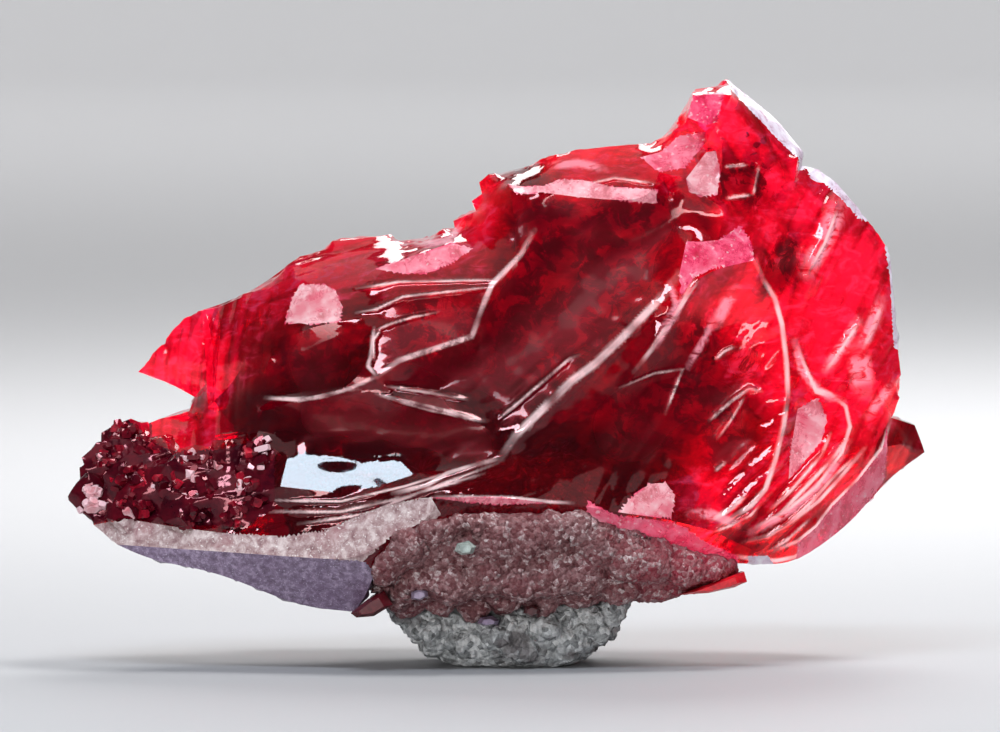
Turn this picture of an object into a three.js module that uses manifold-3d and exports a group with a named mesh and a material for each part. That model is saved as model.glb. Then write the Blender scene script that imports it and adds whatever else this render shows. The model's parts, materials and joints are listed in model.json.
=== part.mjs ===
// Cuprite on matrix: a broken, gem-red cuprite crystal about 60 mm wide on a knob of granular rock.
// Millimetres, +Z up, +X to the right, -Y towards the viewer. The origin is on the floor, under the middle of
// the specimen's overall box.
//
// The crystal's front is a relief of fracture ridges, hollows and flat growth faces, each given where it is
// seen (x, z) and how far forward it stands (y). A triangulation that keeps every ridge as an edge joins
// them, the outline is carried back as a thick wall, and the flat growth faces at the back cut it to a wedge.

import * as THREE from "three";
import { ConvexGeometry } from "three/addons/geometries/ConvexGeometry.js";
import { ConvexHull } from "three/addons/math/ConvexHull.js";
import { mergeVertices } from "three/addons/utils/BufferGeometryUtils.js";
import Module from "manifold-3d";

const wasm = await Module();
wasm.setup();

// Driving dimensions, in millimetres.
const CRYSTAL_BACK = 16; // where the outline's wall ends before the growth faces at the back cut it
const THICKEST_BACK = 9.6; // the flat face at the very back
const CONTACT_GAP = 0.3; // between pieces that touch
const SNAP = 0.4; // relief points closer than this are one point

const CUPRITE_RED = 0x8c0710;
const CUPRITE_BRIGHT = 0xc2182a;
const CUPRITE_DARK = 0x4a0a12;
const LAVENDER = 0x8c7a94;
const MATRIX_BROWN = 0x6b4a46;
const FOOT_GREY = 0x8d8f8c;
const GRAIN_PALE = 0xb9c8c4;

// The crystal's outline, clockwise from the left wing's tip. Each point is [x, z, y of the front edge].
const OUTLINE = [
  [-25.7, 20.7, 2.0], [-25.3, 21.5, 2.0], [-23.9, 22.8, 1.6], [-23.0, 24.1, 1.4], [-21.6, 24.7, 1.0],
  [-19.8, 25.0, 0.6], [-18.4, 25.7, 0.4], [-17.0, 26.2, 0.2], [-16.0, 26.9, 0.0], [-15.0, 27.9, 0.2],
  [-14.0, 28.6, 0.3], [-12.6, 28.8, 0.3], [-11.7, 29.7, 0.5], [-9.8, 29.8, 0.4], [-7.6, 30.1, 0.2],
  [-7.1, 29.6, 0.1], [-4.8, 29.9, 0.0], [-3.9, 30.5, 0.2], [-3.0, 30.3, 0.2], [-3.2, 31.1, 0.4],
  [-2.3, 31.6, 0.4], [-1.6, 31.8, 0.5], [-1.9, 32.5, 0.6], [-1.2, 33.0, 0.6], [-1.4, 33.8, 0.8],
  [-0.7, 34.4, 0.8], [0.3, 34.7, 0.8], [2.2, 34.9, 0.8], [3.0, 35.5, 1.0], [4.3, 36.0, 1.0],
  [6.0, 36.1, 1.0], [7.5, 36.4, 1.0], [9.8, 36.4, 1.0], [11.2, 36.5, 1.0], [12.1, 37.2, 0.8],
  [12.6, 38.1, 0.8], [13.2, 39.4, 1.0], [13.8, 40.3, 1.2], [15.3, 40.5, 1.2], [16.0, 41.0, 1.4],
  [17.3, 40.0, 2.0], [18.6, 39.1, 2.2], [19.8, 37.9, 2.4], [20.3, 37.1, 2.4], [21.4, 35.9, 2.4],
  [21.3, 34.9, 2.2], [22.3, 34.7, 2.4], [23.1, 34.5, 2.6], [24.3, 33.3, 2.8], [25.4, 32.4, 2.8],
  [25.7, 31.2, 2.6], [26.9, 30.3, 2.8], [27.4, 29.4, 2.8], [27.7, 27.4, 2.8], [27.8, 25.0, 2.6],
  [28.0, 22.5, 2.4], [28.3, 20.2, 2.2], [28.2, 18.6, 2.0], [27.6, 17.2, 1.8], [28.4, 17.0, 2.6],
  [29.3, 16.6, 2.8], [29.9, 15.6, 2.8], [30.0, 14.7, 2.8], [29.2, 14.1, 2.6], [28.1, 13.6, 2.2],
  [27.1, 12.7, 1.4], [26.1, 11.5, 0.2], [25.1, 10.4, -0.6], [23.9, 9.4, -1.4], [22.5, 8.4, -2.2],
  [20.8, 7.3, -3.0], [19.2, 7.1, -3.6], [17.9, 7.3, -4.4], [15.5, 7.5, -5.2], [12.0, 7.6, -6.0],
  [7.0, 7.8, -7.0], [2.0, 8.0, -7.6], [-3.0, 8.2, -8.6], [-6.4, 8.1, -9.4], [-8.6, 7.2, -9.9],
  [-9.2, 5.2, -8.3], [-10.1, 4.2, -7.4], [-12.5, 4.3, -6.9], [-14.6, 4.7, -6.7], [-16.0, 5.4, -6.9],
  [-17.6, 6.1, -7.1], [-19.2, 6.7, -7.2], [-20.6, 7.2, -7.2], [-22.6, 7.4, -6.9], [-24.3, 7.8, -6.6],
  [-25.6, 8.1, -6.4], [-26.6, 8.8, -6.4], [-27.4, 9.5, -5.8], [-28.3, 10.1, -5.2], [-28.9, 11.3, -3.6],
  [-28.4, 12.8, -2.4], [-27.4, 14.0, -1.6], [-26.4, 15.2, -0.8], [-25.5, 16.5, -0.2], [-24.5, 17.1, 0.0],
  [-22.9, 17.5, 0.2], [-21.7, 17.7, 0.4], [-21.4, 18.7, 0.8], [-22.4, 19.4, 1.2], [-24.0, 20.0, 1.6],
  [-25.2, 20.3, 1.9],
];

// Flat growth faces on the front. middle is [x, z, y], slope is how y grows along x and along z, and rim is
// the face's corners as [x, z]. The face's plane gives the corners their depth.
const GROWTH_FACES = {
  lower_left_band: {
    middle: [-9.4, 7.9, -10.6],
    slope: [-0.244, 0.2],
    rim: [
      [-26.6, 8.8], [-18.0, 8.35], [-9.4, 7.9], [-8.3, 8.9], [-7.2, 9.9], [-4.0, 11.1], [-4.7, 12.4],
      [-7.0, 12.0], [-9.5, 11.2], [-12.0, 10.0], [-15.0, 9.5], [-19.0, 9.7], [-23.0, 10.1], [-26.0, 10.6],
      [-28.3, 10.1], [-27.4, 9.5],
    ],
  },
  reflecting_hollow: {
    middle: [-10.5, 14.0, -8.3],
    slope: [-0.06, 0.5],
    rim: [
      [-15.2, 13.0], [-11.4, 12.6], [-8.8, 12.9], [-5.4, 14.0], [-6.8, 15.3], [-9.0, 15.1],
      [-12.9, 15.5], [-14.7, 15.0],
    ],
  },
  upper_left_plate: {
    middle: [-13.0, 25.4, -3.9],
    slope: [-0.42, 0.7],
    rim: [
      [-15.0, 24.1], [-13.0, 24.1], [-11.1, 24.3], [-10.9, 25.3], [-11.4, 26.4], [-12.2, 26.8],
      [-13.9, 26.8], [-14.5, 25.8],
    ],
  },
  upper_blade: {
    middle: [-5.2, 28.5, -3.3],
    slope: [-0.05, 0.9],
    rim: [
      [-8.8, 27.9], [-6.8, 27.6], [-5.1, 27.6], [-3.3, 28.3], [-1.8, 29.3], [-3.3, 29.7], [-5.4, 29.0],
    ],
  },
  long_strip: {
    middle: [6.0, 33.5, -2.2],
    slope: [-0.02, 0.8],
    rim: [
      [0.6, 33.8], [1.3, 33.1], [3.2, 33.2], [5.2, 32.9], [8.0, 32.7], [11.0, 32.4], [11.1, 33.4],
      [8.0, 33.6], [5.7, 34.1], [4.2, 34.1], [3.2, 33.7], [1.8, 33.6],
    ],
  },
  neck_plate: {
    middle: [15.4, 29.0, -3.1],
    slope: [0.1, 0.35],
    rim: [
      [13.1, 29.8], [15.3, 29.9], [16.9, 30.9], [17.6, 29.9], [17.9, 28.5], [16.4, 28.2], [14.8, 27.9],
      [13.6, 27.3], [12.7, 26.0], [12.6, 27.6],
    ],
  },
  six_sided_plate: {
    middle: [14.4, 34.5, -2.0],
    slope: [0.2, 0.3],
    rim: [
      [13.1, 34.2], [14.5, 36.0], [15.2, 36.1], [15.5, 34.8], [15.3, 33.1], [14.3, 32.9], [13.3, 33.2],
    ],
  },
  small_plate: {
    middle: [16.4, 31.6, -2.4],
    slope: [0.2, 0.2],
    rim: [[15.6, 32.2], [17.3, 32.1], [16.8, 31.4], [16.0, 30.6], [15.6, 31.0]],
  },
  summit_left: {
    middle: [14.4, 39.2, -0.4],
    slope: [-0.5, 0.7],
    rim: [[13.6, 39.9], [15.8, 40.2], [15.3, 38.1], [14.5, 37.9], [13.2, 38.4]],
  },
  shoulder: {
    middle: [12.4, 36.0, -0.6],
    slope: [-0.25, 0.85],
    rim: [
      [9.9, 35.6], [11.4, 36.0], [12.6, 37.1], [14.5, 37.4], [14.3, 36.4], [13.0, 34.9], [11.2, 34.6],
    ],
  },
  summit_right: {
    middle: [18.0, 36.0, -1.0],
    slope: [0.42, 0.12],
    rim: [
      [15.6, 38.0], [16.3, 40.0], [19.6, 36.8], [21.0, 35.6], [20.7, 33.8], [19.3, 32.4], [18.0, 32.8],
      [15.9, 33.0], [15.8, 35.6],
    ],
  },
  rim_middle: {
    middle: [0.6, 11.6, -9.9],
    slope: [0.14, -0.5],
    rim: [
      [-4.3, 12.4], [-2.0, 12.4], [1.0, 12.3], [3.5, 12.0], [5.2, 11.9], [4.2, 11.0], [1.4, 10.4],
      [-1.2, 10.9], [-3.2, 11.7],
    ],
  },
  rim_right: {
    middle: [9.4, 10.4, -8.4],
    slope: [0.24, -0.45],
    rim: [[6.3, 11.6], [8.3, 11.2], [12.0, 10.7], [12.9, 10.3], [13.0, 8.9], [10.0, 9.3], [7.2, 10.0]],
  },
  pale_plate: {
    middle: [10.4, 12.0, -7.9],
    slope: [0.2, 0.55],
    rim: [[8.3, 11.2], [9.0, 12.1], [10.4, 13.1], [11.6, 13.2], [12.3, 12.3], [12.0, 10.7]],
  },
  right_lens: {
    middle: [21.6, 16.5, -3.0],
    slope: [0.3, 0.12],
    rim: [
      [20.2, 13.1], [20.4, 15.5], [20.9, 18.1], [22.3, 18.9], [23.0, 17.4], [22.6, 15.9], [21.3, 14.3],
    ],
  },
};

// Fracture ridges, each a run of [x, z, y]. A step has two lines, one above and one below. The lower left
// growth face, under the band, needs no rim: its corners are in the band's rim and in OUTLINE.
const RIDGES = {
  lower_left_edge: [[-9.4, 7.9, -10.6], [-8.6, 7.2, -9.9]],
  rim_front: [
    [-4.7, 12.4, -10.8], [-4.3, 12.4, -10.6], [-2.0, 12.4, -10.7], [1.0, 12.3, -10.2], [3.5, 12.0, -9.7],
    [5.2, 11.9, -9.4], [6.3, 11.6, -9.7], [8.3, 11.2, -9.0],
  ],
  rim_front_right: [
    [12.9, 10.3, -7.5], [14.8, 9.8, -6.8], [16.6, 8.9, -6.0], [18.0, 8.2, -5.2], [19.2, 7.1, -3.6],
  ],
  rim_foot: [[5.2, 11.9, -9.4], [5.6, 10.9, -9.0], [6.3, 11.6, -9.7]],
  wing_fold: [[-20.9, 24.8, 0.5], [-20.6, 22.0, -0.8], [-20.5, 19.8, -0.9], [-20.4, 18.0, -1.5]],
  wing_hollow: [[-20.1, 23.6, 0.4], [-20.1, 20.4, 0.2], [-20.0, 18.5, -0.4]],
  wing_crest: [
    [-19.3, 24.7, -0.2], [-19.6, 23.3, -1.3], [-19.7, 21.0, -1.7], [-19.6, 18.5, -2.1],
    [-18.6, 17.3, -3.0], [-17.3, 16.0, -4.4],
  ],
  wing_seam: [
    [-16.5, 25.8, -1.2], [-16.9, 23.6, -2.7], [-17.7, 21.6, -3.0], [-17.8, 19.4, -3.4],
    [-17.7, 17.7, -3.8], [-17.3, 16.0, -4.4],
  ],
  tongue: [
    [-25.5, 16.5, -0.2], [-24.2, 15.9, -1.2], [-23.2, 15.1, -2.2], [-20.6, 15.1, -3.2],
    [-19.2, 15.8, -3.6], [-17.3, 16.0, -4.4], [-16.1, 18.0, -4.8], [-16.3, 19.0, -5.4],
  ],
  tongue_crest: [[-24.5, 17.1, 0.0], [-22.6, 16.4, -1.6], [-20.8, 16.6, -2.4], [-20.4, 18.0, -1.5]],
  left_shoulder: [[-15.2, 27.3, -1.0], [-14.5, 25.8, -3.0]],
  left_fold: [[-15.0, 24.1, -4.0], [-16.0, 22.6, -3.9], [-16.3, 21.0, -4.4], [-16.3, 19.0, -5.4]],
  left_scarp: [[-15.9, 21.9, -4.5], [-15.1, 22.9, -4.9], [-13.8, 23.6, -5.1]],
  shelf: [
    [-16.3, 19.0, -5.4], [-14.0, 18.9, -6.5], [-12.0, 19.2, -7.1], [-10.3, 19.8, -7.6],
    [-8.5, 20.6, -7.9],
  ],
  knot_up: [[-8.7, 23.9, -6.2], [-8.9, 22.2, -7.1], [-9.1, 21.3, -7.6], [-8.5, 20.6, -7.9]],
  plate_foot: [[-11.1, 24.3, -5.0], [-8.7, 23.9, -6.2], [-7.0, 24.4, -5.9], [-4.6, 25.0, -5.6]],
  fan_low: [
    [-10.9, 25.3, -4.8], [-8.0, 25.6, -5.4], [-5.0, 26.3, -5.3], [-2.6, 26.7, -5.2], [-0.5, 26.9, -5.1],
  ],
  fan_high: [[-11.4, 26.4, -4.0], [-8.8, 26.9, -4.4], [-6.8, 27.6, -4.2]],
  fan_top: [[-12.2, 26.8, -3.2], [-10.0, 28.1, -2.4], [-7.4, 28.9, -1.9], [-5.4, 29.0, -2.7]],
  fan_tail: [[-1.8, 29.3, -2.7], [0.2, 29.2, -3.4]],
  step_above: [
    [2.5, 30.6, -3.3], [1.5, 28.9, -4.1], [0.3, 27.7, -4.7], [-0.5, 26.9, -5.1], [-1.2, 25.2, -5.7],
    [-1.9, 23.3, -6.4], [-4.5, 22.5, -7.0], [-7.0, 21.7, -7.5], [-8.5, 20.6, -7.9],
  ],
  step_below: [
    [3.0, 30.3, -2.5], [2.0, 28.6, -3.3], [0.9, 27.3, -3.9], [0.1, 26.5, -4.3], [-0.6, 24.9, -4.9],
    [-1.4, 22.7, -5.7], [-4.3, 21.9, -6.4], [-6.6, 21.2, -7.0],
  ],
  upper_corner: [[0.8, 33.4, -2.3], [1.0, 31.7, -2.7], [2.5, 31.3, -3.0], [2.5, 30.6, -3.3]],
  diagonal_crest: [
    [0.1, 15.0, -9.4], [1.2, 16.6, -8.9], [3.0, 18.3, -8.1], [5.1, 20.3, -7.0], [6.8, 21.5, -6.4],
    [8.5, 23.1, -5.6], [10.2, 24.8, -4.9], [11.6, 26.2, -4.3], [12.6, 27.6, -3.9],
  ],
  diagonal_foot: [
    [0.9, 15.2, -8.7], [2.2, 16.6, -7.8], [3.7, 18.0, -7.1], [5.2, 19.4, -6.4], [7.3, 21.0, -5.7],
    [9.0, 22.6, -5.0], [10.8, 24.5, -4.2],
  ],
  short_crest: [
    [0.2, 17.9, -8.0], [1.6, 19.0, -7.4], [3.0, 20.2, -6.8], [4.4, 21.3, -6.2], [5.6, 22.0, -5.7],
  ],
  dark_crest: [
    [-8.6, 19.4, -8.0], [-5.0, 18.6, -8.4], [-1.0, 17.6, -8.6], [0.0, 16.4, -8.9], [0.1, 15.0, -9.4],
  ],
  dark_ledge: [[-7.6, 20.1, -7.2], [-4.0, 19.6, -7.3], [-1.6, 19.0, -7.5]],
  lower_crest: [
    [0.1, 15.0, -9.4], [-1.6, 14.6, -9.8], [-3.6, 14.0, -10.1], [-5.0, 13.2, -10.3], [-7.4, 12.6, -10.0],
  ],
  scoop_left: [
    [13.6, 27.3, -3.5], [12.9, 25.7, -4.0], [11.9, 24.0, -4.4], [10.6, 22.3, -5.0], [9.4, 20.8, -5.6],
  ],
  scoop_right: [
    [17.9, 28.5, -3.0], [18.5, 27.1, -2.6], [19.3, 25.8, -2.6], [19.8, 24.0, -2.8], [20.1, 21.5, -3.2],
    [20.2, 19.0, -3.6], [19.9, 17.0, -4.1], [19.3, 14.6, -4.8], [18.6, 12.6, -5.4], [17.6, 11.5, -5.9],
    [16.2, 10.6, -6.4], [14.8, 9.8, -6.8],
  ],
  scoop_floor: [[17.4, 19.6, -2.7], [16.6, 18.0, -3.2], [15.3, 16.6, -3.8]],
  lens_edge: [
    [20.9, 22.6, -2.3], [21.5, 20.8, -2.5], [22.2, 19.4, -2.6], [23.2, 19.1, -2.2], [24.3, 18.2, -1.9],
    [24.6, 16.8, -2.1], [24.0, 15.0, -2.8], [22.2, 12.7, -4.1], [20.0, 11.0, -5.1], [18.4, 10.1, -5.7],
  ],
  lower_rib: [
    [25.6, 15.2, -1.8], [24.4, 13.8, -2.7], [22.4, 11.7, -4.0], [20.2, 10.1, -4.9], [18.6, 9.3, -5.5],
    [17.2, 9.0, -5.8],
  ],
  ledge_edge: [
    [27.6, 17.2, 1.8], [26.9, 15.2, -0.2], [25.2, 13.1, -1.9], [23.3, 11.3, -3.1], [22.2, 9.9, -3.7],
    [20.9, 8.9, -4.2], [19.2, 8.2, -4.7], [18.0, 8.2, -5.2],
  ],
  lobe_edge: [[27.6, 17.2, 1.8], [27.1, 15.2, 0.8], [27.1, 12.7, 1.4]],
  right_streak: [[23.7, 32.4, 0.5], [23.0, 30.6, -0.6], [22.3, 29.0, -1.2], [21.6, 27.5, -1.6]],
  right_streak_low: [[25.3, 24.2, -0.5], [24.3, 22.4, -1.1], [23.0, 20.9, -1.7]],
  right_edge_streak: [[27.0, 25.3, 1.2], [26.0, 23.4, 0.3], [25.0, 20.4, -0.8]],
  right_edge_foot: [[27.6, 19.6, 0.6], [26.8, 18.2, -0.2], [25.6, 16.8, -0.9]],
  summit_back: [[21.3, 34.9, 2.2], [20.7, 33.8, -0.2]],
};

// Single points of the relief, [x, z, y]: the floors of the conchoidal hollows and the swells between them.
const HOLLOWS = [
  [-24.0, 21.3, 0.9], [-22.3, 21.6, 0.2], [-22.2, 23.2, 0.4], [-18.4, 22.4, -1.2], [-18.6, 19.6, -1.6],
  [-18.0, 24.6, -0.8],
  [-21.8, 18.4, -0.2], [-18.9, 16.6, -3.0], [-26.6, 12.4, -2.6], [-24.4, 12.8, -3.4], [-21.6, 12.6, -4.6],
  [-18.6, 12.6, -5.6], [-22.0, 14.0, -3.4], [-17.0, 14.2, -5.8], [-16.4, 11.6, -7.2], [-15.9, 16.4, -6.0],
  [-13.4, 11.0, -8.7], [-10.4, 11.6, -9.3], [-13.6, 16.9, -6.6], [-10.6, 17.3, -6.9], [-6.6, 17.0, -7.2],
  [-3.0, 16.2, -7.9], [-4.4, 17.4, -7.8], [-14.4, 21.4, -4.4], [-12.0, 21.6, -5.2], [-12.6, 22.8, -4.7],
  [-10.6, 22.4, -5.6], [-6.4, 23.2, -6.2], [-4.0, 24.0, -6.0], [-13.2, 27.9, -1.4], [-10.6, 29.0, -0.8],
  [-6.0, 24.9, -5.2], [-2.6, 27.8, -4.2], [-2.4, 30.0, -1.4], [-0.8, 31.6, -1.4], [-0.2, 33.0, -1.0],
  [0.2, 30.6, -2.6], [4.0, 28.4, -2.6], [6.6, 30.6, -1.5], [9.6, 30.0, -1.3], [12.2, 31.2, -1.2],
  [9.4, 26.8, -2.8], [6.0, 25.4, -3.6], [3.0, 25.0, -4.0], [1.4, 22.6, -5.0], [-2.6, 20.8, -6.2],
  [3.8, 23.0, -4.9], [6.8, 23.4, -4.6], [4.2, 31.6, -1.9], [5.0, 35.2, -0.6], [8.4, 35.0, -0.8],
  [2.0, 34.3, -0.9], [12.0, 33.2, -1.0], [14.2, 31.6, -1.4], [15.0, 37.1, -1.3], [18.4, 30.6, -1.4],
  [20.6, 31.6, -0.4], [19.8, 28.9, -0.4], [22.4, 32.6, 0.6], [24.4, 30.4, 0.6], [23.4, 26.6, -0.4],
  [21.4, 24.4, -1.2], [26.2, 28.4, 1.4], [26.4, 21.0, 0.6], [23.8, 17.4, -2.5], [21.6, 12.8, -3.9],
  [16.8, 25.6, -1.6], [15.0, 23.6, -2.0], [17.8, 22.6, -1.5], [13.6, 20.6, -3.0], [12.0, 17.6, -4.4],
  [10.8, 20.0, -4.2], [8.4, 18.4, -5.4], [6.2, 16.4, -6.6], [3.6, 14.2, -8.2], [8.4, 14.0, -7.2],
  [12.6, 14.6, -5.6], [15.6, 13.2, -5.2], [17.8, 16.0, -4.0], [14.2, 11.5, -6.4], [16.0, 20.8, -2.2],
  [21.0, 10.2, -4.3], [24.6, 11.6, -1.6], [22.8, 9.6, -2.7], [28.4, 15.4, 1.0], [26.3, 13.2, -0.6],
];

// Growth faces at the back: each plane is y = lift + rise[0] * x + rise[1] * z, and keeps what is before it.
const BACK_FACES = [
  { lift: 20.1, rise: [0.29, -0.53] },
  { lift: 24.7, rise: [-0.4, -0.38] },
  { lift: 24.4, rise: [-0.7, 0] },
  { lift: 21.1, rise: [0.27, -0.55] },
  { lift: 0.2, rise: [0, 0.72] },
  { lift: 15.4, rise: [0.5, 0] },
  { lift: THICKEST_BACK, rise: [0.02, -0.01] },
];

// Shell-shaped chips out of the back, each [x, y, z, radius across, radius deep].
const BACK_CHIPS = [
  [9.5, 13.4, 27.5, 8.0, 6.2],
  [-9.0, 12.6, 20.5, 7.0, 5.6],
  [21.5, 10.6, 17.5, 6.4, 5.4],
];

// Small crystals grown out of the lower left end, each [x, y, z, radius].
const CLUSTER = [
  [-28.1, -3.4, 11.7, 1.5], [-27.1, -3.2, 14.4, 1.4], [-26.2, -1.6, 15.9, 1.3], [-25.6, -4.4, 13.0, 1.7],
  [-24.2, -3.5, 14.9, 1.3], [-23.0, -5.0, 12.7, 1.8], [-21.4, -4.9, 14.0, 1.5], [-20.0, -5.9, 12.4, 1.7],
  [-18.6, -5.2, 14.3, 1.6], [-17.3, -6.5, 12.3, 1.6], [-16.6, -6.2, 14.9, 1.4], [-25.6, -5.5, 11.4, 1.4],
  [-21.6, -6.4, 11.2, 1.4], [-18.4, -6.9, 11.0, 1.3], [-27.6, -0.6, 12.8, 1.6], [-25.8, 1.4, 13.9, 1.8],
  [-27.6, 1.2, 11.0, 1.5],
];

// The brown rock: two blocks, each the hull of its corners, and lumps on them. Corners and lumps are
// [x, y, z], and a lump's last number is its radius.
const MATRIX_FRONT_BLOCK = [
  [-8.6, -9.2, 8.2], [-8.0, -5.4, 4.7], [12.2, -5.0, 5.2], [15.8, -6.0, 7.2], [5.0, -9.4, 9.7],
  [-3.4, -10.6, 10.3],
  [-8.4, 5.0, 9.0], [-7.0, 5.2, 4.8], [12.0, 5.0, 5.3], [15.0, 6.0, 8.6], [0.5, -10.2, 9.4],
  [10.0, -7.8, 7.9],
  [-7.2, -10.6, 9.0], [-0.6, -9.2, 7.0], [-6.4, -8.0, 5.8],
];
const MATRIX_BACK_BLOCK = [
  [-14.4, 2.0, 8.4], [-15.4, 7.0, 10.4], [-13.0, 11.0, 15.0], [-5.0, 11.6, 17.2], [5.0, 11.6, 15.4],
  [12.4, 9.8, 10.2], [13.0, 4.0, 6.2], [-6.0, 8.6, 4.9], [8.2, 8.4, 4.9], [-10.4, 3.4, 6.0],
  [1.0, 10.6, 7.0],
];
const MATRIX_LUMPS = [
  [-7.9, -9.4, 7.3, 1.4], [-6.4, -10.2, 8.4, 1.4], [-4.6, -10.4, 9.5, 1.3], [-2.4, -9.9, 9.2, 1.5],
  [-0.4, -9.8, 8.9, 1.4], [1.8, -9.4, 8.7, 1.4], [3.7, -9.3, 9.3, 1.4], [5.5, -8.9, 9.5, 1.3],
  [7.0, -8.4, 8.3, 1.3], [8.8, -7.8, 7.4, 1.4], [10.8, -7.2, 7.1, 1.4], [12.9, -6.6, 6.9, 1.4],
  [14.9, -5.8, 6.9, 1.2], [16.1, -4.8, 6.8, 1.1], [-7.6, -7.2, 5.3, 1.4], [-5.6, -8.2, 6.3, 1.7],
  [-3.4, -8.0, 6.2, 1.7], [-1.4, -8.0, 6.7, 1.8], [1.2, -7.7, 6.4, 1.8], [3.6, -7.5, 6.8, 1.8],
  [6.0, -7.0, 6.7, 1.7], [8.4, -6.0, 5.9, 1.6], [10.8, -4.8, 5.7, 1.4], [-6.4, -5.2, 4.5, 1.2],
  [-4.0, -5.4, 4.4, 1.1], [-1.8, -5.3, 4.3, 1.2], [0.4, -5.2, 4.7, 1.2], [3.0, -5.2, 4.7, 1.2],
  [5.6, -5.0, 5.1, 1.2], [13.2, -2.4, 6.2, 1.6], [15.6, 0.6, 7.6, 1.5], [-8.2, -1.4, 6.4, 1.6],
  [-8.0, 3.4, 6.2, 1.8], [-12.6, 5.4, 8.4, 1.8], [-13.6, 8.8, 11.4, 1.8], [-9.8, 11.0, 13.4, 2.0],
  [-6.0, 11.2, 10.0, 2.2], [-1.8, 11.4, 14.2, 2.2], [1.2, 10.8, 9.4, 2.2], [5.4, 11.0, 12.6, 2.0],
  [9.6, 9.8, 9.6, 1.9], [4.6, 8.8, 5.8, 1.8], [-3.6, 9.0, 6.4, 1.9], [10.6, 6.8, 6.2, 1.6],
];

// The grey foot, cut off flat where it left the rock it grew on.
const FOOT_BLOCK = [
  [-7.8, -3.6, 4.3], [-7.6, 4.2, 4.4], [-5.5, -4.0, 1.9], [-5.3, 5.2, 1.8], [-3.4, -4.2, 0.4],
  [-3.2, 5.8, 0.4],
  [5.0, -4.4, 0.4], [5.2, 5.6, 0.4], [7.6, -3.8, 2.3], [7.8, 5.2, 2.5], [8.9, -3.4, 4.5], [9.0, 5.6, 4.7],
  [0.4, -5.6, 3.0], [0.4, 6.8, 2.8], [-2.4, -3.6, -0.6], [4.4, -3.8, -0.6], [4.4, 5.0, -0.6],
  [-2.4, 5.0, -0.6],
];
const FOOT_LUMPS = [
  [-6.6, -3.6, 3.5, 1.0], [-4.8, -4.6, 2.7, 1.1], [-2.6, -4.9, 1.8, 1.2], [0.0, -5.2, 2.3, 1.2],
  [1.6, -4.9, 1.1, 1.2], [3.2, -5.0, 2.6, 1.2], [5.0, -4.6, 1.8, 1.1], [6.4, -4.1, 2.9, 1.1],
  [7.9, -3.0, 3.7, 0.9], [-3.9, 5.6, 2.2, 1.3], [0.8, 6.4, 1.7, 1.3], [5.2, 5.9, 2.6, 1.2],
  [-6.4, 1.0, 3.0, 1.2],
  [7.4, 1.4, 2.8, 1.2],
];

// Single small crystals and grains held in the rock: outline as [x, z], and front and back as y.
const BITS = {
  dark_red_blade: {
    outline: [[-10.3, 4.2], [-9.9, 3.9], [-8.7, 4.0], [-7.4, 4.8], [-8.0, 5.8], [-9.2, 5.1]],
    front: -9.8,
    back: -6.4,
  },
  lavender_blade: {
    outline: [[-1.5, 3.3], [-1.1, 3.1], [-0.1, 3.2], [0.0, 3.5], [-0.5, 3.8], [-1.3, 3.7]],
    front: -7.0,
    back: -4.6,
  },
  lavender_chip: {
    outline: [[-6.1, 5.2], [-5.5, 5.1], [-4.9, 5.4], [-5.0, 5.8], [-5.6, 5.9], [-6.1, 5.7]],
    front: -9.9,
    back: -7.6,
  },
  dark_red_grain: {
    outline: [[1.7, 4.0], [2.2, 3.7], [2.8, 3.9], [2.9, 4.4], [2.3, 4.6], [1.8, 4.4]],
    front: -6.9,
    back: -5.0,
  },
  pale_grain: {
    outline: [[-3.1, 8.7], [-2.6, 8.4], [-1.8, 8.5], [-1.6, 9.0], [-2.1, 9.4], [-2.9, 9.2]],
    front: -11.9,
    back: -10.2,
  },
  red_sliver: {
    outline: [[12.6, 5.3], [14.6, 5.4], [16.4, 5.8], [17.3, 6.2], [17.1, 6.9], [15.9, 6.5], [14.6, 5.9]],
    front: -7.0,
    back: -4.4,
  },
};

// Everything random below comes from this seeded generator, so the part is the same each time.
function seeded(seed) {
  let state = seed;
  return () => {
    state = (state * 1664525 + 1013904223) % 4294967296;
    return state / 4294967296;
  };
}

// Solids

function solidOf(geometry) {
  const bare = geometry.clone();
  bare.deleteAttribute("normal");
  bare.deleteAttribute("uv");
  const merged = mergeVertices(bare, 1e-4);
  return new wasm.Manifold(
    new wasm.Mesh({
      numProp: 3,
      vertProperties: new Float32Array(merged.attributes.position.array),
      triVerts: new Uint32Array(merged.index.array),
    }),
  );
}

function geometryOf(solid) {
  const mesh = solid.getMesh();
  const points = [];
  for (let i = 0; i < mesh.numVert; i += 1) {
    points.push(...mesh.vertProperties.subarray(i * mesh.numProp, i * mesh.numProp + 3));
  }
  const geometry = new THREE.BufferGeometry();
  geometry.setAttribute("position", new THREE.Float32BufferAttribute(points, 3));
  geometry.setIndex([...mesh.triVerts]);
  geometry.computeVertexNormals();
  return geometry;
}

function largestBody(solid) {
  return solid.decompose().reduce((most, body) => (body.volume() > most.volume() ? body : most));
}

// The solid and its copies moved by the contact gap each way: cut with it, a neighbour keeps clear.
function grown(solid, gap) {
  const ways = [[1, 0, 0], [-1, 0, 0], [0, 1, 0], [0, -1, 0], [0, 0, 1], [0, 0, -1]];
  return ways.reduce((sum, way) => sum.add(solid.translate(way.map((w) => w * gap))), solid);
}

// Crystal relief

const key = (a, b) => (a < b ? `${a}_${b}` : `${b}_${a}`);

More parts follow.
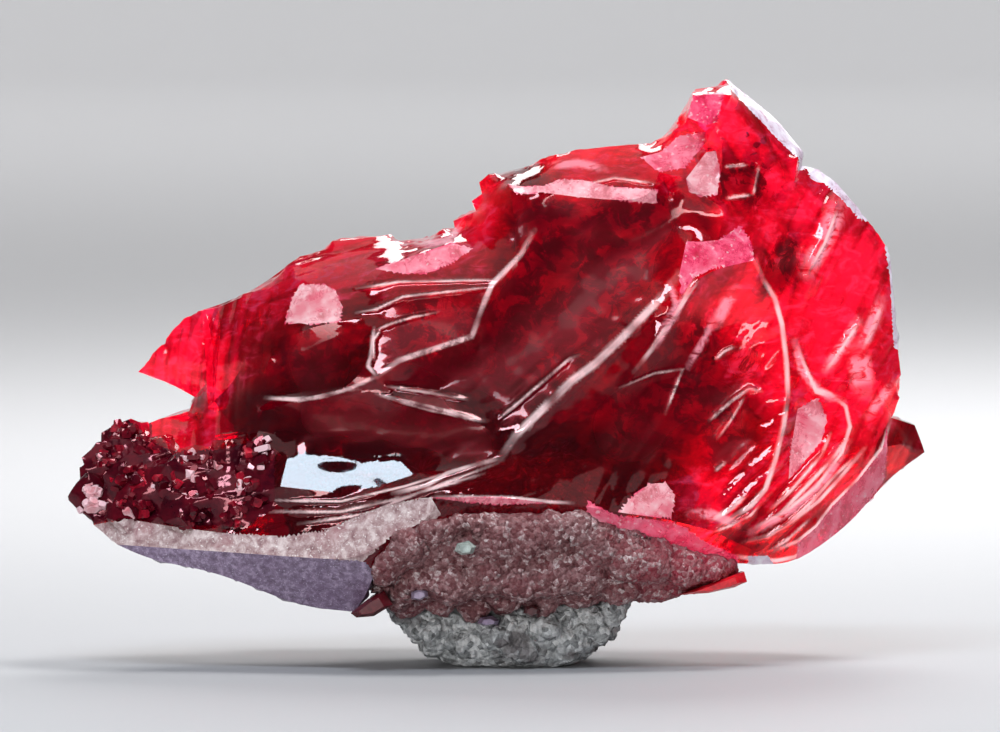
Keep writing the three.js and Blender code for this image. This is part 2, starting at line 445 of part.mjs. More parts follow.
// Collects the relief's points and the edges that the triangulation has to keep.
class Relief {
  constructor() {
    this.points = [];
    this.edges = new Map();
  }

  point(x, z, y) {
    const near = this.points.findIndex((p) => Math.hypot(p.x - x, p.y - z) < SNAP);
    if (near >= 0) return near;
    const made = new THREE.Vector3(x, z, x * x + z * z);
    made.depth = y;
    return this.points.push(made) - 1;
  }

  keep(a, b) {
    if (a !== b) this.edges.set(key(a, b), [a, b]);
  }

  run(points, closed = false) {
    const found = points.map(([x, z, y]) => this.point(x, z, y));
    found.slice(1).forEach((b, i) => this.keep(found[i], b));
    if (closed) this.keep(found[found.length - 1], found[0]);
    return found;
  }

  // Delaunay triangles, as the underside of the hull of the points raised on a paraboloid.
  triangles() {
    const numbers = new Map(this.points.map((p, i) => [p, i]));
    return new ConvexHull()
      .setFromPoints(this.points)
      .faces.filter((face) => face.normal.z < 0)
      .map(({ edge }) => [edge, edge.next, edge.next.next].map((e) => numbers.get(e.vertex.point)));
  }

  // Splits every kept edge that the triangulation crosses, until it crosses none.
  conform() {
    for (let pass = 0; pass < 7; pass += 1) {
      const made = new Set(this.triangles().flatMap(([a, b, c]) => [key(a, b), key(b, c), key(c, a)]));
      const missing = [...this.edges].filter(([name]) => !made.has(name));
      if (!missing.length) return;
      missing.forEach(([name, [a, b]]) => {
        const [p, q] = [this.points[a], this.points[b]];
        const middle = new THREE.Vector3((p.x + q.x) / 2, (p.y + q.y) / 2, 0);
        middle.z = middle.x ** 2 + middle.y ** 2;
        middle.depth = (p.depth + q.depth) / 2;
        const added = this.points.push(middle) - 1;
        this.edges.delete(name);
        this.keep(a, added);
        this.keep(added, b);
      });
    }
    const starts = [...this.edges.values()].slice(-6).map(([a]) => this.points[a]);
    const places = starts.map(({ x, y }) => `${x.toFixed(1)}, ${y.toFixed(1)}`);
    throw new Error(`ridges cross each other, near one of ${places.join("; ")}`);
  }
}

function insideOutline(x, z) {
  return OUTLINE.reduce((inside, [x1, z1], i) => {
    const [x2, z2] = OUTLINE[(i + 1) % OUTLINE.length];
    const crosses = z1 > z !== z2 > z && x < ((x2 - x1) * (z - z1)) / (z2 - z1) + x1;
    return crosses ? !inside : inside;
  }, false);
}

function reliefOfCrystal() {
  const relief = new Relief();
  relief.run(OUTLINE, true);
  Object.values(GROWTH_FACES).forEach(({ middle, slope, rim }) => {
    const depth = (x, z) => middle[2] + slope[0] * (x - middle[0]) + slope[1] * (z - middle[1]);
    relief.run(rim.map(([x, z]) => [x, z, depth(x, z)]), true);
  });
  Object.values(RIDGES).forEach((ridge) => relief.run(ridge));
  HOLLOWS.forEach(([x, z, y]) => relief.point(x, z, y));
  relief.conform();
  return relief;
}

// The relief as a closed block: its front, a wall along the outline, and a flat back.
function blockBehind(relief) {
  const front = relief.triangles().filter((corners) => {
    const mean = (axis) => corners.reduce((sum, c) => sum + relief.points[c][axis], 0) / 3;
    return insideOutline(mean("x"), mean("y"));
  });
  const count = relief.points.length;
  const positions = [
    ...relief.points.flatMap((p) => [p.x, p.depth, p.y]),
    ...relief.points.flatMap((p) => [p.x, CRYSTAL_BACK, p.y]),
  ];
  const faces = [];
  const edges = new Map();
  front.forEach(([a, b, c]) => {
    const [start, one, two] = [a, b, c].map((i) => new THREE.Vector2(relief.points[i].x, relief.points[i].y));
    const [p, q, r] = one.sub(start).cross(two.sub(start)) > 0 ? [a, b, c] : [a, c, b];
    faces.push([p, q, r], [p + count, r + count, q + count]);
    [[p, q], [q, r], [r, p]].forEach(([from, to]) => {
      if (edges.has(key(from, to))) edges.delete(key(from, to));
      else edges.set(key(from, to), [from, to]);
    });
  });
  edges.forEach(([from, to]) => faces.push([to, from, from + count], [to, from + count, to + count]));
  const geometry = new THREE.BufferGeometry();
  geometry.setAttribute("position", new THREE.Float32BufferAttribute(positions, 3));
  geometry.setIndex(faces.flat());
  return solidOf(geometry);
}

function crystalSolid() {
  let solid = blockBehind(reliefOfCrystal());
  BACK_FACES.forEach(({ lift, rise }) => {
    const normal = new THREE.Vector3(rise[0], -1, rise[1]);
    const length = normal.length();
    normal.divideScalar(length);
    solid = solid.trimByPlane(normal.toArray(), -lift / length);
  });
  BACK_CHIPS.forEach(([x, y, z, across, deep]) => {
    const chip = new THREE.SphereGeometry(1, 20, 12);
    chip.scale(across, deep, across * 0.8);
    chip.translate(x, y, z);
    solid = solid.subtract(solidOf(chip));
  });
  return largestBody(solid);
}

// A stubby crystal: a cube whose corners are cut off, turned at random.
function smallCrystal([x, y, z, radius], random) {
  const side = radius * 0.76;
  const short = side * (0.2 + 0.35 * random());
  const corners = [-side, side].flatMap((a) =>
    [-side, side].flatMap((b) => [
      new THREE.Vector3(a, b, short),
      new THREE.Vector3(a, b, -short),
      new THREE.Vector3(a, short, b),
      new THREE.Vector3(a, -short, b),
      new THREE.Vector3(short, a, b),
      new THREE.Vector3(-short, a, b),
    ]),
  );
  const turn = new THREE.Euler(random() * 6, random() * 6, random() * 6);
  const stretch = new THREE.Vector3(1, 1, 1.25 + 0.5 * random());
  const middle = new THREE.Vector3(x, y, z);
  return solidOf(new ConvexGeometry(corners.map((p) => p.multiply(stretch).applyEuler(turn).add(middle))));
}

// A rough lump: the hull of points scattered on a squashed ball.
function lump([x, y, z, radius], random) {
  const points = Array.from({ length: 15 }, (_, i) => {
    const height = 1 - (2 * i + 1) / 15;
    const around = i * 2.39996 + random();
    const across = Math.sqrt(1 - height * height);
    const reach = radius * (0.85 + 0.3 * random());
    return new THREE.Vector3(
      x + reach * across * Math.cos(around),
      y + reach * height,
      z + reach * across * Math.sin(around) * 0.9,
    );
  });
  return solidOf(new ConvexGeometry(points));
}

function blockOf(corners) {
  return solidOf(new ConvexGeometry(corners.map((corner) => new THREE.Vector3(...corner))));
}

// A bit's outline in two layers, the front one drawn in so that its edges are bevelled.
function bitSolid({ outline, front, back }) {
  const mean = (axis) => outline.reduce((sum, corner) => sum + corner[axis], 0) / outline.length;
  const [midX, midZ] = [mean(0), mean(1)];
  const layer = (scale, y) =>
    outline.map(([x, z]) => new THREE.Vector3(midX + (x - midX) * scale, y, midZ + (z - midZ) * scale));
  return solidOf(new ConvexGeometry([...layer(0.6, front), ...layer(1, front + 0.7), ...layer(0.9, back)]));
}

const random = seeded(41);
const crystal = CLUSTER.reduce((sum, item) => sum.add(smallCrystal(item, random)), crystalSolid());
const aroundCrystal = grown(crystal, CONTACT_GAP);

const bits = Object.fromEntries(
  Object.entries(BITS).map(([name, bit]) => [name, largestBody(bitSolid(bit).subtract(aroundCrystal))]),
);
const aroundBits = Object.values(bits).map((solid) => grown(solid, CONTACT_GAP));

const joined = (bodies) => bodies.reduce((sum, body) => sum.add(body));
const clearOf = (solid, others) => others.reduce((rest, other) => rest.subtract(other), solid);

const roughMatrix = joined([
  blockOf(MATRIX_FRONT_BLOCK), blockOf(MATRIX_BACK_BLOCK), ...MATRIX_LUMPS.map((item) => lump(item, random)),
]);
const matrix = largestBody(clearOf(roughMatrix, [aroundCrystal, ...aroundBits]));

const roughFoot = joined([blockOf(FOOT_BLOCK), ...FOOT_LUMPS.map((item) => lump(item, random))]);
const foot = largestBody(
  clearOf(roughFoot, [grown(matrix, CONTACT_GAP), ...aroundBits]).trimByPlane([0, 0, 1], 0),
);

const PIECES = [
  ["cuprite_crystal", crystal, CUPRITE_RED, 0.12],
  ["brown_matrix", matrix, MATRIX_BROWN, 0.85],
  ["grey_foot", foot, FOOT_GREY, 0.9],
  ["dark_red_blade", bits.dark_red_blade, CUPRITE_DARK, 0.2],
  ["lavender_blade", bits.lavender_blade, LAVENDER, 0.4],
  ["lavender_chip", bits.lavender_chip, LAVENDER, 0.4],
  ["dark_red_grain", bits.dark_red_grain, CUPRITE_DARK, 0.3],
  ["pale_grain", bits.pale_grain, GRAIN_PALE, 0.5],
  ["red_sliver", bits.red_sliver, CUPRITE_BRIGHT, 0.15],
];

const specimen = new THREE.Group();
specimen.name = "cuprite_on_matrix";
PIECES.forEach(([name, solid, color, roughness]) => {
  const material = new THREE.MeshStandardMaterial({ color, roughness, metalness: 0 });
  const piece = new THREE.Mesh(geometryOf(solid), material);
  piece.name = name;
  specimen.add(piece);
});

const box = new THREE.Box3().setFromObject(specimen);
specimen.position.set(-(box.min.x + box.max.x) / 2, -(box.min.y + box.max.y) / 2, -box.min.z);
specimen.updateMatrixWorld(true);

export default specimen;
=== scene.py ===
"""Looks of the cuprite specimen: a fractured gem-red crystal on granular rock.

Shapes are worked out in millimetres in the relief's own coordinates (x right, y away, z up) and turned
into metres of the frame when a mesh is written. The camera looks along +Y.
"""
import json
import math

import bmesh
import bpy
import numpy as np
from mathutils import Euler, Matrix, Vector, noise

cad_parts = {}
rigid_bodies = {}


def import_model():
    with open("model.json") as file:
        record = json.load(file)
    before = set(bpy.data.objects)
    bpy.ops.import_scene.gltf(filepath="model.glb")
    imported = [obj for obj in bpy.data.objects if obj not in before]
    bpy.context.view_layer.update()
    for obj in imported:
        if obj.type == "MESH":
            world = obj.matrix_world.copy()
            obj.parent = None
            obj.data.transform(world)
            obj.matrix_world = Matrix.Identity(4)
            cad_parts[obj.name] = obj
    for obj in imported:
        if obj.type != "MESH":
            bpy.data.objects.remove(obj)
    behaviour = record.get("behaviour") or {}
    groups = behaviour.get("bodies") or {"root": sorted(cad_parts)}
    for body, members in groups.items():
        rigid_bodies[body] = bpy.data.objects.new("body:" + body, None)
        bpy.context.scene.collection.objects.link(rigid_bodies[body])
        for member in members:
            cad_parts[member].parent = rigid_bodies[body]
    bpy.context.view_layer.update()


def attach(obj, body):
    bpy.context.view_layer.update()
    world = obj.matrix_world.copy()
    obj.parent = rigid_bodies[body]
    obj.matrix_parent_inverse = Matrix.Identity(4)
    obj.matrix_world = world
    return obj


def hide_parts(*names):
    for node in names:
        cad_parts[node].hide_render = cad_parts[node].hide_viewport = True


for stray in list(bpy.data.objects):
    bpy.data.objects.remove(stray)
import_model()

MM = 0.001
SHIFT = np.array([0.132, -0.795, 0.0])  # from relief coordinates to the frame, mm

GEM_IOR = 1.45
GEM_DENSITY = 60.0  # how strongly the gem's inside absorbs all but red, per metre

CREASE = 26  # an edge of the crystal that turns by more than so many degrees is a crease
NO_CREASE = 200  # more than any edge turns
FACES_FRONT = -0.1  # a face whose normal's y is under this looks towards the viewer
CRISP_REACH = 0.5  # a crease stays crisp up to here from a crest, a fold or a face's rim, mm
CREST_REACH = 0.3  # the mesh is finer up to here from a crest, mm
GEM_EDGE = 0.31  # longest edge on the crystal's front, mm
ROCK_EDGE = 0.21  # longest edge on a rock's front, mm
CRYSTALS_PER_SPOT = 34

# The crystal's finishes, in the order of its material slots.
GEM, FROSTED_FACE, PINK_BAND, LAVENDER, SMALL_CRYSTAL, PALE_SHEEN_EDGE, MIRROR = range(7)

PICTURE_WIDTH = 1000
PIXELS_PER_MM = 14.3
SENSOR_WIDTH = 36
CAMERA_DISTANCE = 0.8
CAMERA_LIFT = math.radians(3)

FLOOR_REACH = 1.5  # radius of the flat floor, m
FLOOR_BEND = 0.6  # radius of its upward curve, m
FLOOR_SIDES = 128
BEND_RINGS = 45
WALL_HEIGHT = 1.0


# Meshes

def node_object(name):
    return next(o for o in bpy.data.objects if o.type == "MESH" and o.name.split(".")[0] == name)


def copy_of(node, degrees):
    """A merged copy of a CAD node in relief millimetres. Edges over so many degrees are marked sharp."""
    source = node_object(node)
    bm = bmesh.new()
    bm.from_mesh(source.data)
    bm.transform(source.matrix_world)
    bmesh.ops.scale(bm, vec=(1 / MM,) * 3, verts=bm.verts)
    bmesh.ops.translate(bm, vec=-SHIFT, verts=bm.verts)
    bmesh.ops.remove_doubles(bm, verts=bm.verts, dist=0.002)
    for edge in bm.edges:
        edge.smooth = not (len(edge.link_faces) == 2 and edge.calc_face_angle(0) > math.radians(degrees))
    return bm


def halve(bm, edges):
    bmesh.ops.subdivide_edges(bm, edges=edges, cuts=1)
    bmesh.ops.triangulate(bm, faces=[f for f in bm.faces if len(f.verts) > 3])


def split_long(bm, front, back):
    """Halves edges until nearly all are short: under front on the viewer's side, else under back, in mm."""
    most_rounds, few = 9, 50
    for _ in range(most_rounds):
        bm.normal_update()
        too_long = [
            e for e in bm.edges
            if e.calc_length() > (front if any(f.normal.y < FACES_FRONT for f in e.link_faces) else back)
        ]
        if len(too_long) < few:
            return
        halve(bm, too_long)


def split_near(bm, paths, reach, longest):
    """Halves the front's edges that are over longest and closer than reach to a path, all in mm."""
    bm.normal_update()
    edges = [
        e for e in bm.edges
        if e.calc_length() > longest and all(f.normal.y < FACES_FRONT for f in e.link_faces)
    ]
    halve(bm, [e for e, far in zip(edges, far_from(paths, edges)) if far < reach])


def settle_creases(bm, paths, reach):
    """Rounds off the front's creases that run away from every path."""
    bm.normal_update()
    creases = [e for e in bm.edges if not e.smooth and all(f.normal.y < -0.12 for f in e.link_faces)]
    for edge, far in zip(creases, far_from(paths, creases)):
        edge.smooth = bool(far > reach)


def relax(bm, rounds):
    """Smooths the surface between sharp edges, and a sharp edge only along itself."""
    ridges, free = [], []
    for vert in bm.verts:
        ends = [e.other_vert(vert) for e in vert.link_edges if not e.smooth]
        if len(ends) == 2:
            ridges.append((vert, ends))
        elif not ends:
            free.append(vert)
    for _ in range(rounds):
        bmesh.ops.smooth_vert(
            bm, verts=free, factor=0.5, use_axis_x=True, use_axis_y=True, use_axis_z=True
        )
        moved = [(vert, vert.co.lerp((ends[0].co + ends[1].co) / 2, 0.25)) for vert, ends in ridges]
        for vert, place in moved:
            vert.co = place


def points_of(bm):
    return np.array([v.co[:] for v in bm.verts])


def normals_of(bm):
    bm.normal_update()
    return np.array([v.normal[:] for v in bm.verts])


def move_to(bm, points):
    for vert, place in zip(bm.verts, points):
        vert.co = place


def to_frame(bm):
    """Turns the relief's millimetres into metres of the frame."""
    bmesh.ops.translate(bm, vec=SHIFT, verts=bm.verts)
    bmesh.ops.scale(bm, vec=(MM,) * 3, verts=bm.verts)


def new_object(name, data):
    made = bpy.data.objects.new(name, data)
    bpy.context.scene.collection.objects.link(made)
    return made


def mesh_object(name, bm):
    mesh = bpy.data.meshes.new(name)
    bm.to_mesh(mesh)
    bm.free()
    return new_object(name, mesh)


def piece_from(bm, name, node):
    """Makes the object that stands for a CAD node."""
    to_frame(bm)
    for face in bm.faces:
        face.smooth = True
    piece = mesh_object(name, bm)
    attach(piece, "root")
    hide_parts(node)
    return piece


def paint(piece, name, values):
    """Gives every point of a piece a value that its materials read."""
    attribute = piece.data.attributes.new(name, "FLOAT", "POINT")
    attribute.data.foreach_set("value", np.asarray(values, np.float32))


def inside(polygon, x, z):
    """Which of the points lie inside a polygon of (x, z)."""
    found = np.zeros(len(x), bool)
    for (x1, z1), (x2, z2) in zip(polygon, polygon[1:] + polygon[:1]):
        if z1 == z2:
            continue
        crosses = ((z1 > z) != (z2 > z)) & (x < (x2 - x1) * (z - z1) / (z2 - z1) + x1)
        found ^= crosses
    return found


def away_from(path, x, z):
    """Distance in mm from each point to a path of [x, z], and how far along the path that is, 0 to 1."""
    path = np.asarray(path, float)
    steps = np.linalg.norm(np.diff(path, axis=0), axis=1)
    before = np.concatenate([[0], np.cumsum(steps)])
    best, along = np.full(len(x), 1e9), np.zeros(len(x))
    for i, (a, b) in enumerate(zip(path, path[1:])):
        d = b - a
        t = np.clip(((x - a[0]) * d[0] + (z - a[1]) * d[1]) / max(d @ d, 1e-9), 0, 1)
        far = np.hypot(x - a[0] - t * d[0], z - a[1] - t * d[1])
        closer = far < best
        best[closer], along[closer] = far[closer], (before[i] + t[closer] * steps[i]) / before[-1]
    return best, along


def far_from(paths, edges):
    """Distance in mm from the middle of each edge to the nearest of the paths."""
    x, _, z = np.array([((e.verts[0].co + e.verts[1].co) / 2)[:] for e in edges]).T
    best = np.full(len(x), 1e9)
    for path in paths:
        best = np.minimum(best, away_from(path, x, z)[0])
    return best


def heap(points, size, seed):
    """Angular grains of so many mm: up to 1 in a grain's middle and 0 in the creases between grains."""
    offset = Vector((seed, -seed, seed * 1.3))
    near = [noise.voronoi(Vector(p) / size + offset)[0] for p in points]
    return np.clip(np.array([second - first for first, second, _, _ in near]) * 2.2, 0, 1)


def rough(points, scale, seed=0.0):
    """Smooth noise between -1 and 1 at each point, scale in mm."""
    offset = Vector((seed, seed * 1.7, -seed))
    return np.array([noise.noise(Vector(p) / scale + offset) for p in points])


# Relief of the crystal

# Fine fracture ribs on the front: [height, half width, path of (x, z)].
RIBS = [
    [0.35, 0.3, [(17, 8.9), (18.75, 9.25), (20.35, 10.3), (21.95, 11.75), (23.55, 13.5),
                 (25.1, 14.75)]],
    [0.4, 0.35, [(17.95, 10), (19.55, 10.8), (21.15, 12.4), (23.2, 14.45), (24.35, 15.9), (24.5, 17)]],
    [0.35, 0.3, [(19, 11.25), (20.35, 12.4), (22.6, 14.9), (23.2, 16.35)]],
    [0.25, 0.22, [(18.6, 8.1), (20, 8.9), (21.7, 10.4)]],
    [0.3, 0.22, [(14.8, 9.65), (16.2, 10.15), (17.5, 10.8), (18.1, 11.4)]],
    [0.25, 0.25, [(14.7, 17.3), (16.2, 18.6), (17.5, 19.5), (18.4, 19.3)]],
    [0.2, 0.22, [(15.25, 16.05), (16.2, 17.3), (17.15, 18.9)]],
    [0.2, 0.2, [(8.4, 19.7), (10.8, 20.65), (12.85, 20.9), (11.6, 17.8)]],
    [0.3, 0.22, [(15.15, 21.55), (15.8, 22.1), (16.5, 22.4)]],
    [0.3, 0.25, [(15.1, 13.9), (15.8, 14.45)]],
    [0.35, 0.3, [(23.7, 31.85), (22.9, 29.75), (21.6, 27.5)]],
    [0.35, 0.3, [(25.2, 24), (24, 22.2), (22.9, 20.7)]],
    [0.35, 0.3, [(26.9, 25.15), (26.2, 23.6), (25.6, 22.3)]],
    [0.3, 0.3, [(20.8, 22.5), (22.2, 19.25), (23.55, 18.9)]],
    [0.3, 0.25, [(-8.6, 19.4), (-5, 18.35), (-1, 17.5)]],
    [0.3, 0.22, [(-7.75, 19.9), (-5, 19.5), (-2.2, 19)]],
    [0.22, 0.2, [(-10, 26.55), (-7, 27.05), (-0.2, 27.2)]],
    [0.22, 0.2, [(-10, 24.9), (-8.5, 25.2), (-6.7, 26.05), (-5.85, 26.15), (-0.7, 26.7)]],
    [0.25, 0.2, [(-8.5, 23.8), (-7.5, 24.2), (-6, 24.65), (-4.2, 25)]],
    [0.25, 0.22, [(-8.3, 23.7), (-8.75, 23.1), (-8.7, 21.75)]],
    [0.25, 0.22, [(-9.8, 19.7), (-11, 19.6), (-13, 19.1), (-16.4, 18.9)]],
    [0.28, 0.25, [(-16, 11.2), (-11, 11.3), (-6.35, 12.4), (-0.05, 14.7)]],
    [0.22, 0.22, [(-14, 10.4), (-9, 11.2), (-5.5, 12.7), (-1, 14)]],
    [0.2, 0.2, [(-16, 12), (-11, 12), (-6.5, 13.1), (-3.4, 14.1)]],
    [0.3, 0.25, [(0.2, 17.85), (1.6, 19), (3.3, 20.4), (4.9, 21.75), (5.6, 22)]],
    [0.25, 0.2, [(6.25, 33.8), (8.1, 34.2), (11.2, 33.8)]],
    [0.25, 0.2, [(15.9, 32.8), (17.6, 33)]],
    [0.3, 0.2, [(17.8, 33), (18.2, 35)]],
    [0.25, 0.2, [(15.8, 35), (17.4, 35.1)]],
    [0.25, 0.25, [(10.55, 22.4), (11.4, 23.6), (12.9, 25.55), (13.9, 27.05)]],
]

# The relief's main crests, already in the solid: [half width of the worn edge and of the highlight painted
# along it, path of (x, z)].
CRESTS = [
    [0.22, [(2.5, 30.6), (1.5, 28.9), (0.3, 27.7), (-0.5, 26.9), (-1.2, 25.2), (-1.9, 23.3),
            (-4.5, 22.5), (-7, 21.7), (-8.5, 20.6)]],
    [0.32, [(0.1, 15), (1.2, 16.6), (3, 18.3), (5.1, 20.3), (6.8, 21.5), (8.5, 23.1), (10.2, 24.8),
            (11.6, 26.2), (12.6, 27.6)]],
    [0.17, [(0.1, 15), (-1.6, 14.6), (-3.6, 14), (-5, 13.2), (-7.4, 12.6)]],
    [0.15, [(-16.3, 19), (-14, 18.9), (-12, 19.2), (-10.3, 19.8), (-8.5, 20.6)]],
    [0.2, [(17.9, 28.5), (18.5, 27.1), (19.3, 25.8), (19.8, 24), (20.1, 21.5), (20.2, 19), (19.9, 17),
           (19.3, 14.6), (18.6, 12.6), (17.6, 11.5), (16.2, 10.6), (14.8, 9.8)]],
    [0.13, [(-4.7, 12.4), (-2, 12.4), (1, 12.3), (3.5, 12), (5.2, 11.9)]],
    [0.18, [(13.6, 27.3), (12.9, 25.7), (11.9, 24), (10.6, 22.3), (9.4, 20.8)]],
    [0.15, [(-8.7, 23.9), (-8.9, 22.2), (-9.1, 21.3), (-8.5, 20.6)]],
    [0.11, [(-8.6, 19.4), (-5, 18.6), (-1, 17.6)]],
    [0.15, [(20.9, 22.6), (21.5, 20.8), (22.2, 19.4), (23.2, 19.1), (24.3, 18.2), (24.6, 16.8),
            (24, 15), (22.2, 12.7), (20, 11), (18.4, 10.1)]],
    [0.16, [(25.6, 15.2), (24.4, 13.8), (22.4, 11.7), (20.2, 10.1), (18.6, 9.3), (17.2, 9)]],
    [0.15, [(27.6, 17.2), (26.9, 15.2), (25.2, 13.1), (23.3, 11.3), (22.2, 9.9), (20.9, 8.9),
            (19.2, 8.2)]],
    [0.18, [(16.6, 7.9), (18.2, 7.6), (19.4, 7.5), (20.7, 7.7), (22.3, 8.7)]],
    [0.18, [(14.6, 10.4), (16.2, 11.3), (17.2, 12.2)]],
]

# The flat hollow that mirrors the lamp: its outline, and its plane as in the solid.
HOLLOW = [(-15.2, 13), (-11.4, 12.6), (-8.8, 12.9), (-5.4, 14), (-6.8, 15.3), (-9, 15.1), (-12.9, 15.5),
          (-14.7, 15)]
HOLLOW_MIDDLE = (-10.5, 14.0, -8.3)
HOLLOW_SLOPE = (-0.06, 0.5)

# Folds of the relief that stay crisp and have no worn edge: paths of (x, z).
FOLDS = [
    [(-20.9, 24.8), (-20.6, 22), (-20.5, 19.8), (-20.4, 18)],
    [(-19.3, 24.7), (-19.6, 23.3), (-19.7, 21), (-19.6, 18.5), (-18.6, 17.3), (-17.3, 16)],
    [(-16.5, 25.8), (-16.9, 23.6), (-17.7, 21.6), (-17.8, 19.4), (-17.7, 17.7), (-17.3, 16)],
    [(-25.5, 16.5), (-24.2, 15.9), (-23.2, 15.1), (-20.6, 15.1), (-19.2, 15.8), (-17.3, 16),
     (-16.3, 19)],
    [(-15, 24.1), (-16, 22.6), (-16.3, 21), (-16.3, 19)],
    [(-8.6, 19.4), (-5, 18.6), (-1, 17.6), (0, 16.4), (0.1, 15)],
    [(2.5, 30.6), (2.5, 31.3), (1, 31.7), (0.8, 33.4)],
    [(8.3, 11.2), (12.9, 10.3), (14.8, 9.8), (16.6, 8.9), (18, 8.2), (19.2, 7.1)],
    [(27.6, 17.2), (27.1, 15.2), (27.1, 12.7)],
    [(21.3, 34.9), (20.7, 33.8), (19.3, 32.4)],
    HOLLOW + HOLLOW[:1],
]

# Soft pink streaks of painted reflection along the fractures: [half width, path of (x, z)].
PINK_REFLECTIONS = [
    [0.75, [(23.9, 32.3), (22.9, 29.9), (21.6, 27.7)]],
    [0.4, [(25.2, 24.2), (24, 22.3), (22.9, 20.8)]],
    [0.9, [(25.2, 21.8), (25.4, 20.4), (25.6, 19.4)]],
    [0.35, [(27.7, 19.6), (26.6, 18.3), (25.9, 17.4)]],
    [0.3, [(20.7, 22.8), (21.2, 20.8), (22.3, 19.4), (24.1, 18.5)]],
    [0.45, [(15.2, 24), (16, 25.6), (16.6, 26.4)]],
    [0.22, [(13.2, 21), (14.3, 22.8), (15, 24.4)]],
    [0.3, [(10.9, 22.6), (12.1, 24.4), (13.2, 26.4)]],
    [0.22, [(11.9, 27), (12.4, 25.4), (11.2, 23.6)]],
    [0.45, [(26.9, 25.5), (26.1, 23.7), (25.4, 22.2)]],
    [0.3, [(17.6, 9.6), (20.6, 11.2), (22.8, 13.2), (24.4, 15.4)]],
    [0.35, [(13.2, 11), (14.9, 10.9), (16.6, 10.2)]],
    [0.3, [(3.6, 35), (5.6, 35.2), (7.4, 34.8)]],
    [0.25, [(-5.6, 29.4), (-3.4, 29.9), (-2.6, 30.9)]],
]

# Low swells that turn the reflection aside, each [x, z, half width, half height, rise in mm].
SWELLS = [
    [-11.2, 14.75, 1.1, 0.42, 0.06],
    [-8.3, 13.8, 0.8, 0.6, 0.02],
]

# Shell-like ripples: [centre x, centre z, least and greatest distance, wavelength, height, softness at
# the ends].
RIPPLES = [
    [-3, 29, 15.5, 19.5, 1.6, 0.05, 1.5],
    [21.5, 10, 4, 17, 1.6, 0.14, 3],
    [14, 33, 5, 22, 2.2, 0.16, 3],
    [30, 14, 6, 13, 1.9, 0.16, 3],
    [3, 10, 5, 13, 2.1, 0.05, 2],
    [-24, 30, 6, 13, 1.3, 0.12, 2],
]

# Which way the fracture streaks run: [x, z, reach, angle from the x axis in degrees, width of a streak].
FLOW = [
    [-21, 21, 4, 84, 0.8], [-13, 17, 5, 6, 1.2], [-9, 25, 5, 12, 0.8], [-5, 15, 5, 28, 1.2],
    [2, 22, 5, 42, 1.2], [6, 30, 5, 36, 1.4], [10, 18, 5, 50, 1.2], [16, 22, 4, 58, 0.9],
    [23, 28, 5, 66, 1], [25, 20, 4, 60, 0.9], [20, 12, 4, 42, 0.7], [5, 35, 4, 10, 1],
    [17, 36, 4, 120, 1.2],
]

# Where the front is calm, and how much of the streaks and ripples is left: outline and share.
CALM = [
    [0.02, [(-16.5, 12.2), (-5, 12.4), (-4, 14.2), (-6, 16.4), (-15.5, 16.6)]],
    [0.2, [(-1.5, 19.5), (4, 22), (11.5, 28.5), (11, 32), (3, 31.5), (-1, 25)]],
    [0.15, [(-16, 19), (-9, 19.8), (-1, 20), (1.5, 28), (-2, 29.6), (-9, 29), (-15.5, 26.5)]],
    [0.2, [(-16, 16.4), (-5, 16.4), (0, 15.5), (-1, 19), (-9, 19.5), (-16, 18.8)]],
    [0.4, [(1, 14), (8, 12), (14, 12), (18, 16), (18, 26), (12, 24), (5, 19)]],
]


def calm_share(x, z):
    """1 where the front is rough, and each calm zone's share inside it, blended over a millimetre."""
    share = np.ones(len(x))
    for left, outline in CALM:
        far, _ = away_from(outline + outline[:1], x, z)
        depth = np.where(inside(outline, x, z), far, -far)
        share = np.minimum(share, 1 - (1 - left) * np.clip(depth / 1.2 + 0.5, 0, 1))
    return share


def flow_values(points):
    """Streaks between -1 and 1 that turn with the fracture's direction."""
    x, _, z = points.T
    total, weight = np.zeros(len(x)), np.full(len(x), 1e-6)
    for i, (cx, cz, reach, angle, width) in enumerate(FLOW):
        near = np.exp(-((x - cx) ** 2 + (z - cz) ** 2) / (1.1 * reach * reach))
        used = near > 0.01
        c, s = math.cos(math.radians(angle)), math.sin(math.radians(angle))
        dx, dz = x[used] - cx, z[used] - cz
        along, across = c * dx + s * dz, c * dz - s * dx
        bend = 0.04 * along**2
        own_noise = np.full(used.sum(), 3.0 * i)
        where = np.stack([along / 9, (across + 0.3 * bend) / (0.65 * width), own_noise], 1)
        total[used] += near[used] * (rough(where, 1.0) + 0.5 * rough(where * [1.6, 2.4, 1], 1.0, 4.0))
        weight += near
    return np.clip(1.6 * total / weight, -1, 1)


def press_hollow(points, front):
    """Lays the front's points inside the hollow's outline on its plane."""
    x, y, z = points.T
    far, _ = away_from(HOLLOW + HOLLOW[:1], x, z)
    share = np.clip(far / 0.25, 0, 1) * inside(HOLLOW, x, z) * front
    (mid_x, mid_z, mid_y), (rise_x, rise_z) = HOLLOW_MIDDLE, HOLLOW_SLOPE
    points[:, 1] += share * (mid_y + rise_x * (x - mid_x) + rise_z * (z - mid_z) - y)


